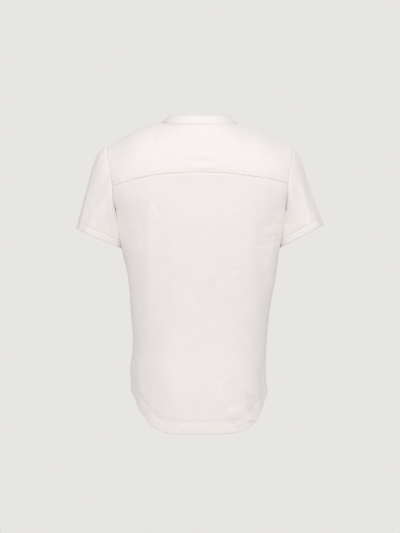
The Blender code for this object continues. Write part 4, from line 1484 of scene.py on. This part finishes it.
def stripGrid():
    heights = np.linspace(stripTop, stripBottom, strip["rows"])
    half = placket["stripHalf"]
    across = np.concatenate([-half + graded(half, True, False) * half, half * graded(half, True, False)[1:]])
    across = np.sort(np.unique(np.round(np.concatenate([across, -across]), 6)))
    outer, inner = [], []
    for z, x in zip(heights, stripMiddle(heights)):
        row = [pointOn(frontTree, x + a, z) for a in across]
        out = sum(normal for _, normal in row)
        out = unit(np.array((0.0, out[1], out[2])))
        outer.append([point + out * (placket["layGap"] + strip["thinnest"]) for point, _ in row])
        inner.append([point + out * placket["layGap"] for point, _ in row])
    outer, inner = np.array(outer), np.array(inner)
    z, a = np.meshgrid(heights, across, indexing="ij")
    edge = np.minimum(half - np.abs(a), np.minimum(stripTop - z + strip["underBand"], z - stripBottom))
    rise = strip["thickness"] * np.sqrt(1 - (1 - np.clip(edge / strip["roundEdge"], 0, 1)) ** 2)
    rise = rise - strip["edgeGroove"] * bump(edge - strip["stitchIn"], strip["grooveWidth"])
    crossing = np.minimum(*(np.abs(z - (foot + up)) for up in strip["crossRows"]))
    rise = rise - strip["crossGroove"] * bump(crossing, strip["grooveWidth"])
    ripple = pucker(edge.ravel(), z.ravel(), strip["puckerSeed"]).reshape(edge.shape)
    rise = rise + strip["pucker"] * ripple
    out = unit((outer - inner).reshape(-1, 3)).reshape(outer.shape)
    return outer + out * np.maximum(rise, strip["thinnest"])[..., None], inner, across, heights


def stripShell():
    outer, inner, across, heights = stripGrid()
    rows, columns = outer.shape[:2]
    index = np.arange(rows * columns).reshape(rows, columns)
    count = rows * columns
    top = quadsOf(index)
    ring = np.concatenate([index[0, :-1], index[:-1, -1], index[-1, :0:-1], index[:0:-1, 0]])
    after = np.roll(ring, -1)
    rim = np.stack([ring, after, after + count, ring + count], axis=1)
    polygons = np.concatenate([top, top[:, ::-1] + count, rim])
    u, v = np.meshgrid(across, heights)
    flat = np.stack([u, v], axis=-1).reshape(-1, 2)
    uv = np.concatenate([flat, flat])[polygons]
    verts = np.concatenate([outer.reshape(-1, 3), inner.reshape(-1, 3)])
    made = meshObject("placketOver", verts, polygons, uv, "bandLinen")
    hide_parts("placket_over")
    return made, outer


overStrip, stripFace = stripShell()
stripQuads = quadsOf(np.arange(stripFace.shape[0] * stripFace.shape[1]).reshape(stripFace.shape[:2]))
stripTree = BVHTree.FromPolygons(stripFace.reshape(-1, 3).tolist(), stripQuads.tolist())
print("placket laid on")

# sewing

stitch = {
    "pitch": 0.0031,
    "length": 0.0027,
    "radius": 0.00021,
    "rise": 0.00022,
    "sink": 0.00008,
    "sides": 6,
    "rings": 7,
}


def capsules(kind, centres, ways, ups):
    # one short bowed thread for each centre, as vertices, quads and their UV
    length, radius, sides, rings = (kind[key] for key in ("length", "radius", "sides", "rings"))
    t = np.linspace(-0.5, 0.5, rings)
    thick = radius * np.sqrt(np.maximum(1 - np.abs(2 * t) ** 5, 0.06))
    bow = kind["rise"] * (1 - (2 * t) ** 2) - kind["sink"]
    turn = np.arange(sides) / sides * 2 * np.pi
    aside = np.cross(ups, ways)
    local = np.zeros((rings, sides, 3))
    local[..., 0] = (t * length)[:, None]
    local[..., 1] = thick[:, None] * np.cos(turn)
    local[..., 2] = bow[:, None] + thick[:, None] * np.sin(turn)
    local = local.reshape(-1, 3)
    basis = np.stack([ways, aside, ups], axis=1)
    verts = centres[:, None, :] + np.einsum("vk,nkd->nvd", local, basis)
    index = np.arange(rings * sides).reshape(rings, sides)
    after = np.roll(index, -1, axis=1)
    quads = np.stack([index[:-1], after[:-1], after[1:], index[1:]], axis=-1).reshape(-1, 4)
    caps = [index[0][::-1], index[-1]]
    flat = np.stack([np.repeat(t * length, sides), np.tile(turn * radius, rings)], axis=-1)
    polygons, uv = [], []
    for k in range(len(centres)):
        shift = k * rings * sides
        polygons += (quads + shift).tolist() + [(cap + shift).tolist() for cap in caps]
        uv.append(flat[quads].reshape(-1, 2))
        uv += [flat[cap] for cap in caps]
    return verts.reshape(-1, 3), polygons, np.concatenate(uv)


def threadObject(name, parts):
    verts, polygons, uv, offset = [], [], [], 0
    for partVerts, partPolygons, partUV in parts:
        verts.append(partVerts)
        polygons += [[v + offset for v in polygon] for polygon in partPolygons]
        uv.append(partUV)
        offset += len(partVerts)
    made = meshObject(name, np.concatenate(verts), polygons, np.concatenate(uv), "thread")


def stitchesOn(path, ups):
    # stitches along a path of points, with the way up at each
    run = runLengths(path)
    count = max(int(round(run[-1] / stitch["pitch"])), 1)
    at = (np.arange(count) + 0.5) / count * run[-1]
    half = stitch["length"] / 2
    centres = between(run, path, at)
    ahead, behind = np.minimum(at + half, run[-1]), np.maximum(at - half, 0)
    ways = unit(between(run, path, ahead) - between(run, path, behind))
    up = between(run, ups, at)
    return capsules(stitch, centres, ways, unit(up - ways * (up * ways).sum(1, keepdims=True)))


def sideWays(seam, names):
    mine = facesOf(names)
    middle = points[mine].mean(axis=1)
    total = np.zeros_like(points)
    for k in range(4):
        np.add.at(total, mine[:, k], middle - points[mine[:, k]])
    return unit(total[seam])


pathSample = 0.003


def offsetPath(seam, names, offset, tree):
    # the line on the cloth that keeps this distance from a seam, on the side of the named pieces
    line, ways = points[seam], sideWays(seam, names)
    samples = max(int(runLengths(line)[-1] / pathSample), 4)
    shares = np.linspace(0, 1, samples)
    run = runLengths(line) / runLengths(line)[-1]
    path = along(line, shares)
    ways = between(run, ways, shares)
    tangent = unit(np.gradient(path, axis=0))
    ways = unit(ways - tangent * (ways * tangent).sum(1, keepdims=True))
    found, ups = path.copy(), np.zeros_like(path)
    want = np.full(samples, offset)
    seamPoints = lineTree(along(line, np.linspace(0, 1, samples * 4)))
    for _ in range(3):
        for k in range(samples):
            place, normal, _, _ = tree.find_nearest(path[k] + ways[k] * want[k])
            found[k], ups[k] = place, normal
            want[k] += offset - seamPoints.find(place)[2]
    return found, ups


def stitched(name, seam, pieces, offset):
    path, ups = offsetPath(seamLines[seam], pieces, offset, treeOf(pieces))
    threadObject(name, [stitchesOn(path, ups)])


for row in seamPlan:
    if row["stitches"]:
        stitched(row["stitches"], row["seam"], row["topstitched"], press["topstitchRow"])
stitched("bandStitches", "bandTop", ("neckband",), press["bandRow"])
for row in hemPlan:
    stitched(row["stitches"], row["seam"], (row["piece"],), row["depth"])


def stripPath(places):
    found = [pointOn(stripTree, stripMiddle(z) + x, z) for x, z in places]
    return np.array([p for p, _ in found]), np.array([n for _, n in found])


side = placket["stripHalf"] - strip["stitchIn"]
low, high = stripBottom + strip["stitchIn"], stripTop - strip["stitchTop"]
lines = [[(x, z) for z in np.linspace(high, low, 60)] for x in (-side, side)]
for z in [low] + [foot + up for up in strip["crossRows"]]:
    lines.append([(x, z) for x in np.linspace(-side, side, 14)])
threadObject("placketStitches", [stitchesOn(*stripPath(line)) for line in lines])

# buttonholes and buttons

buttonhole = {
    "slit": 0.0145,
    "half": 0.0011,
    "square": 0.35,
    "corners": 96,
    "pitch": 0.00042,
    "length": 0.0017,
    "radius": 0.00020,
    "rise": 0.00020,
    "sink": 0.00004,
    "sides": 5,
    "rings": 5,
}


def buttonholeParts(z):
    # close stitches all round the slit
    places = []
    for a in np.linspace(0, 2 * np.pi, buttonhole["corners"], endpoint=False):
        across = math.copysign(abs(math.cos(a)) ** buttonhole["square"], math.cos(a))
        places.append((buttonhole["half"] * across, z + buttonhole["slit"] / 2 * math.sin(a)))
    path, ups = stripPath(places + places[:1])
    run = runLengths(path)
    at = np.linspace(0, run[-1], int(run[-1] / buttonhole["pitch"]), endpoint=False)
    centres, up = between(run, path, at), unit(between(run, ups, at))
    ahead = np.roll(centres, -1, axis=0) - np.roll(centres, 1, axis=0)
    return capsules(buttonhole, centres, unit(np.cross(up, unit(ahead))), up)


def ringAt(radius, z, count, x=0.0, y=0.0):
    turns = [2 * math.pi * k / count for k in range(count)]
    return [(x + radius * math.cos(a), y + radius * math.sin(a), z) for a in turns]


def ringSides(lower, upper, count):
    # quads between two rings of vertices that begin with these numbers
    after = [(k + 1) % count for k in range(count)]
    return [[lower + k, lower + n, upper + n, upper + k] for k, n in enumerate(after)]


def bareObject(name, verts, polygons):
    mesh = bpy.data.meshes.new(name)
    mesh.from_pydata(verts, [], polygons)
    return placed(name, mesh)


button = {
    "radius": 0.0056,
    "thick": 0.0024,
    "dish": 0.0017,
    "round": 0.0006,
    "rim": 0.0014,
    "bevel": 0.0008,
    "hole": 0.00080,
    "holeOut": 0.00135,
    "turns": (4, -9, 13),  # degrees, each sewn on a little turned
    "threadApart": 0.00022,
    "shankSink": 0.0002,
    "sharp": 40,
}
buttonThread = {
    "length": 2 * button["holeOut"] + 0.0007,
    "radius": 0.00024,
    "rise": 0.0004,
    "sink": 0.0001,
    "sides": 8,
    "rings": 9,
}
shank = {"length": 0.0016, "radius": 0.0011, "rise": 0.0, "sink": 0.0, "sides": 12, "rings": 5}


def buttonMesh():
    high, soft, bevel, dish = (button[key] for key in ("thick", "round", "bevel", "dish"))
    inner, outer = button["radius"] - button["rim"], button["radius"] - soft
    turn = [math.pi / 2 * k / 4 for k in range(5)]
    profile = [(outer + soft * math.sin(a), soft - soft * math.cos(a)) for a in turn]
    profile += [(outer + soft * math.cos(a), high - soft + soft * math.sin(a)) for a in turn]
    profile += [(inner, high), (inner - bevel * 0.5, (high + dish) / 2 - 0.0001), (inner - bevel, dish)]
    sides, holeSides = 48, 20
    verts = [vert for r, z in profile for vert in ringAt(r, z, sides)]
    last = (len(profile) - 1) * sides
    polygons = [list(range(sides))[::-1]]
    for start in range(0, last, sides):
        polygons += ringSides(start, start + sides, sides)
    polygons.append([last + k for k in range(sides)])
    blank = bareObject("button", verts, polygons)
    holeVerts, holePolygons = [], []
    for x, y in itertools.product((-button["holeOut"], button["holeOut"]), repeat=2):
        start, top = len(holeVerts), len(holeVerts) + holeSides
        for z in (-0.001, 0.004):  # through the button and out at both ends
            holeVerts += ringAt(button["hole"], z, holeSides, x, y)
        holePolygons += [[start + k for k in range(holeSides)][::-1], [top + k for k in range(holeSides)]]
        holePolygons += ringSides(start, top, holeSides)
    drill = bareObject("drill", holeVerts, holePolygons)
    cut = blank.modifiers.new("holes", "BOOLEAN")
    cut.operation, cut.object, cut.solver = "DIFFERENCE", drill, "EXACT"
    graph = bpy.context.evaluated_depsgraph_get()
    bored = bpy.data.meshes.new_from_object(blank.evaluated_get(graph))
    for old in (blank, drill):
        bpy.data.objects.remove(old, do_unlink=True)
    return bored


bored = buttonMesh()
threadParts = []
for number, z in enumerate(placket["buttonHeights"], 1):
    point, up = pointOn(frontTree, stripMiddle(z), z)
    up[0] = 0.0
    up = unit(up)
    seat = point + up * (2 * placket["layGap"] + placket["stripWall"])
    across = np.array((1.0, 0.0, 0.0))
    upward = np.cross(up, across)
    turnBy = math.radians(button["turns"][number - 1])
    xWay = across * math.cos(turnBy) + upward * math.sin(turnBy)
    yWay = np.cross(up, xWay)
    local = np.array([v.co for v in bored.vertices])
    verts = seat + local @ np.stack([xWay, yWay, up])
    polygons = [list(p.vertices) for p in bored.polygons]
    made = meshObject(f"button{number}", verts, polygons, None, "buttonHorn")
    made.data.set_sharp_from_angle(angle=math.radians(button["sharp"]))
    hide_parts(f"button_{number}")
    sewn = []
    for sideways, shift in itertools.product((-1, 1), (-button["threadApart"], button["threadApart"])):
        aside = xWay * (sideways * button["holeOut"] + shift)
        sewn.append(seat + up * (button["dish"] + 0.00005) + aside)
    threadParts.append(capsules(buttonThread, np.array(sewn), np.tile(yWay, (4, 1)), np.tile(up, (4, 1))))
    root = np.array([seat - up * button["shankSink"]])
    threadParts.append(capsules(shank, root, up[None], xWay[None]))
threadObject("buttonThread", threadParts)
threadObject("buttonholes", [buttonholeParts(z) for z in placket["buttonHeights"]])
print("sewing and buttons done")

# floor, lights and camera

studio = {
    "backdrop": (0.7991, 0.7913, 0.7758),
    "ambient": 0.535,
    "floorHeight": -1.25,
    "floorRadius": 1.45,
    "floorFade": (0.75, 1.4),  # from full to nothing, from the middle outwards
    "cameraDistance": 3.0,
    "cameraHeight": -0.345,
    "lens": 85.5,
    "sensor": 36.0,
}


def floorMaterial():
    material, tree, shader = newMaterial("paleFloor")
    place = addNode(tree, "ShaderNodeTexCoord").outputs["Object"]
    out = addNode(tree, "ShaderNodeVectorMath", {0: place}, operation="LENGTH").outputs["Value"]
    ends = {0: out, 1: studio["floorFade"][0], 2: studio["floorFade"][1], 3: 1.0, 4: 0.0}
    fade = addNode(tree, "ShaderNodeMapRange", ends, interpolation_type="SMOOTHSTEP")
    tone = addNode(tree, "ShaderNodeValToRGB", {0: noise(tree, place, 6.0, 3.0)[0]})
    first, last = tone.color_ramp.elements
    first.color, last.color = (0.76, 0.755, 0.745, 1), (0.80, 0.795, 0.785, 1)
    setInputs(tree, shader, {"Base Color": tone.outputs[0], "Alpha": fade.outputs[0], "Roughness": 0.7})
    return material


def floorObject():
    sides = 96
    verts = [(0, 0, 0)] + ringAt(studio["floorRadius"], 0, sides)
    floor = bareObject("floor", verts, [(0, k + 1, (k + 1) % sides + 1) for k in range(sides)])
    floor.data.materials.append(floorMaterial())
    floor.location = (0, 0, studio["floorHeight"])


def areaLight(name, place, aim, size, power):
    data = bpy.data.lights.new(name, "AREA")
    data.shape, data.size, data.size_y, data.energy = "RECTANGLE", *size, power
    lamp = placed(name, data)
    lamp.location = place
    lamp.rotation_mode = "QUATERNION"
    lamp.rotation_quaternion = (Vector(aim) - Vector(place)).to_track_quat("-Z", "Y")


def studioWorld():
    # the camera sees the backdrop, everything else the softer ambient light
    world = bpy.data.worlds.new("studio")
    bpy.context.scene.world = world
    world.use_nodes = True
    tree = world.node_tree
    back = tree.nodes["Background"]
    back.inputs["Color"].default_value = (*studio["backdrop"], 1)
    ambient = {"Color": (1.0, 0.992, 0.985, 1), "Strength": studio["ambient"]}
    soft = addNode(tree, "ShaderNodeBackground", ambient)
    rays = addNode(tree, "ShaderNodeLightPath").outputs["Is Camera Ray"]
    mix = addNode(tree, "ShaderNodeMixShader", {0: rays, 1: soft.outputs[0], 2: back.outputs[0]})
    tree.links.new(mix.outputs[0], tree.nodes["World Output"].inputs["Surface"])


floorObject()
studioWorld()
lights = table(
    ("name", "place", "aim", "size", "power"),
    (
        ("keyLight", (2.05, 2.05, 1.45), (0.0, 0.0, -0.30), (1.8, 1.6), 27.0),
        ("sideLight", (-2.05, 2.05, 1.45), (0.0, 0.0, -0.30), (1.8, 1.6), 29.5),
        ("fillLight", (0.0, 3.3, -0.3), (0.0, 0.0, -0.40), (1.2, 1.6), 19.0),
        ("topLight", (0.0, 0.9, 2.4), (0.0, 0.0, -0.20), (2.4, 1.2), 3.5),
        ("frontLight", (-0.5, -2.6, 0.9), (0.0, 0.0, -0.35), (1.8, 1.8), 22.0),
    ),
)
for row in lights:
    areaLight(**row)

cameraData = bpy.data.cameras.new("camera")
cameraData.lens, cameraData.sensor_width, cameraData.sensor_fit = studio["lens"], studio["sensor"], "AUTO"
camera = placed("camera", cameraData)
camera.location = (0.0, studio["cameraDistance"], studio["cameraHeight"])
camera.rotation_euler = (math.radians(90), 0, math.radians(180))
bpy.context.scene.camera = camera
bpy.context.scene.view_settings.view_transform = "Standard"
print("studio ready")
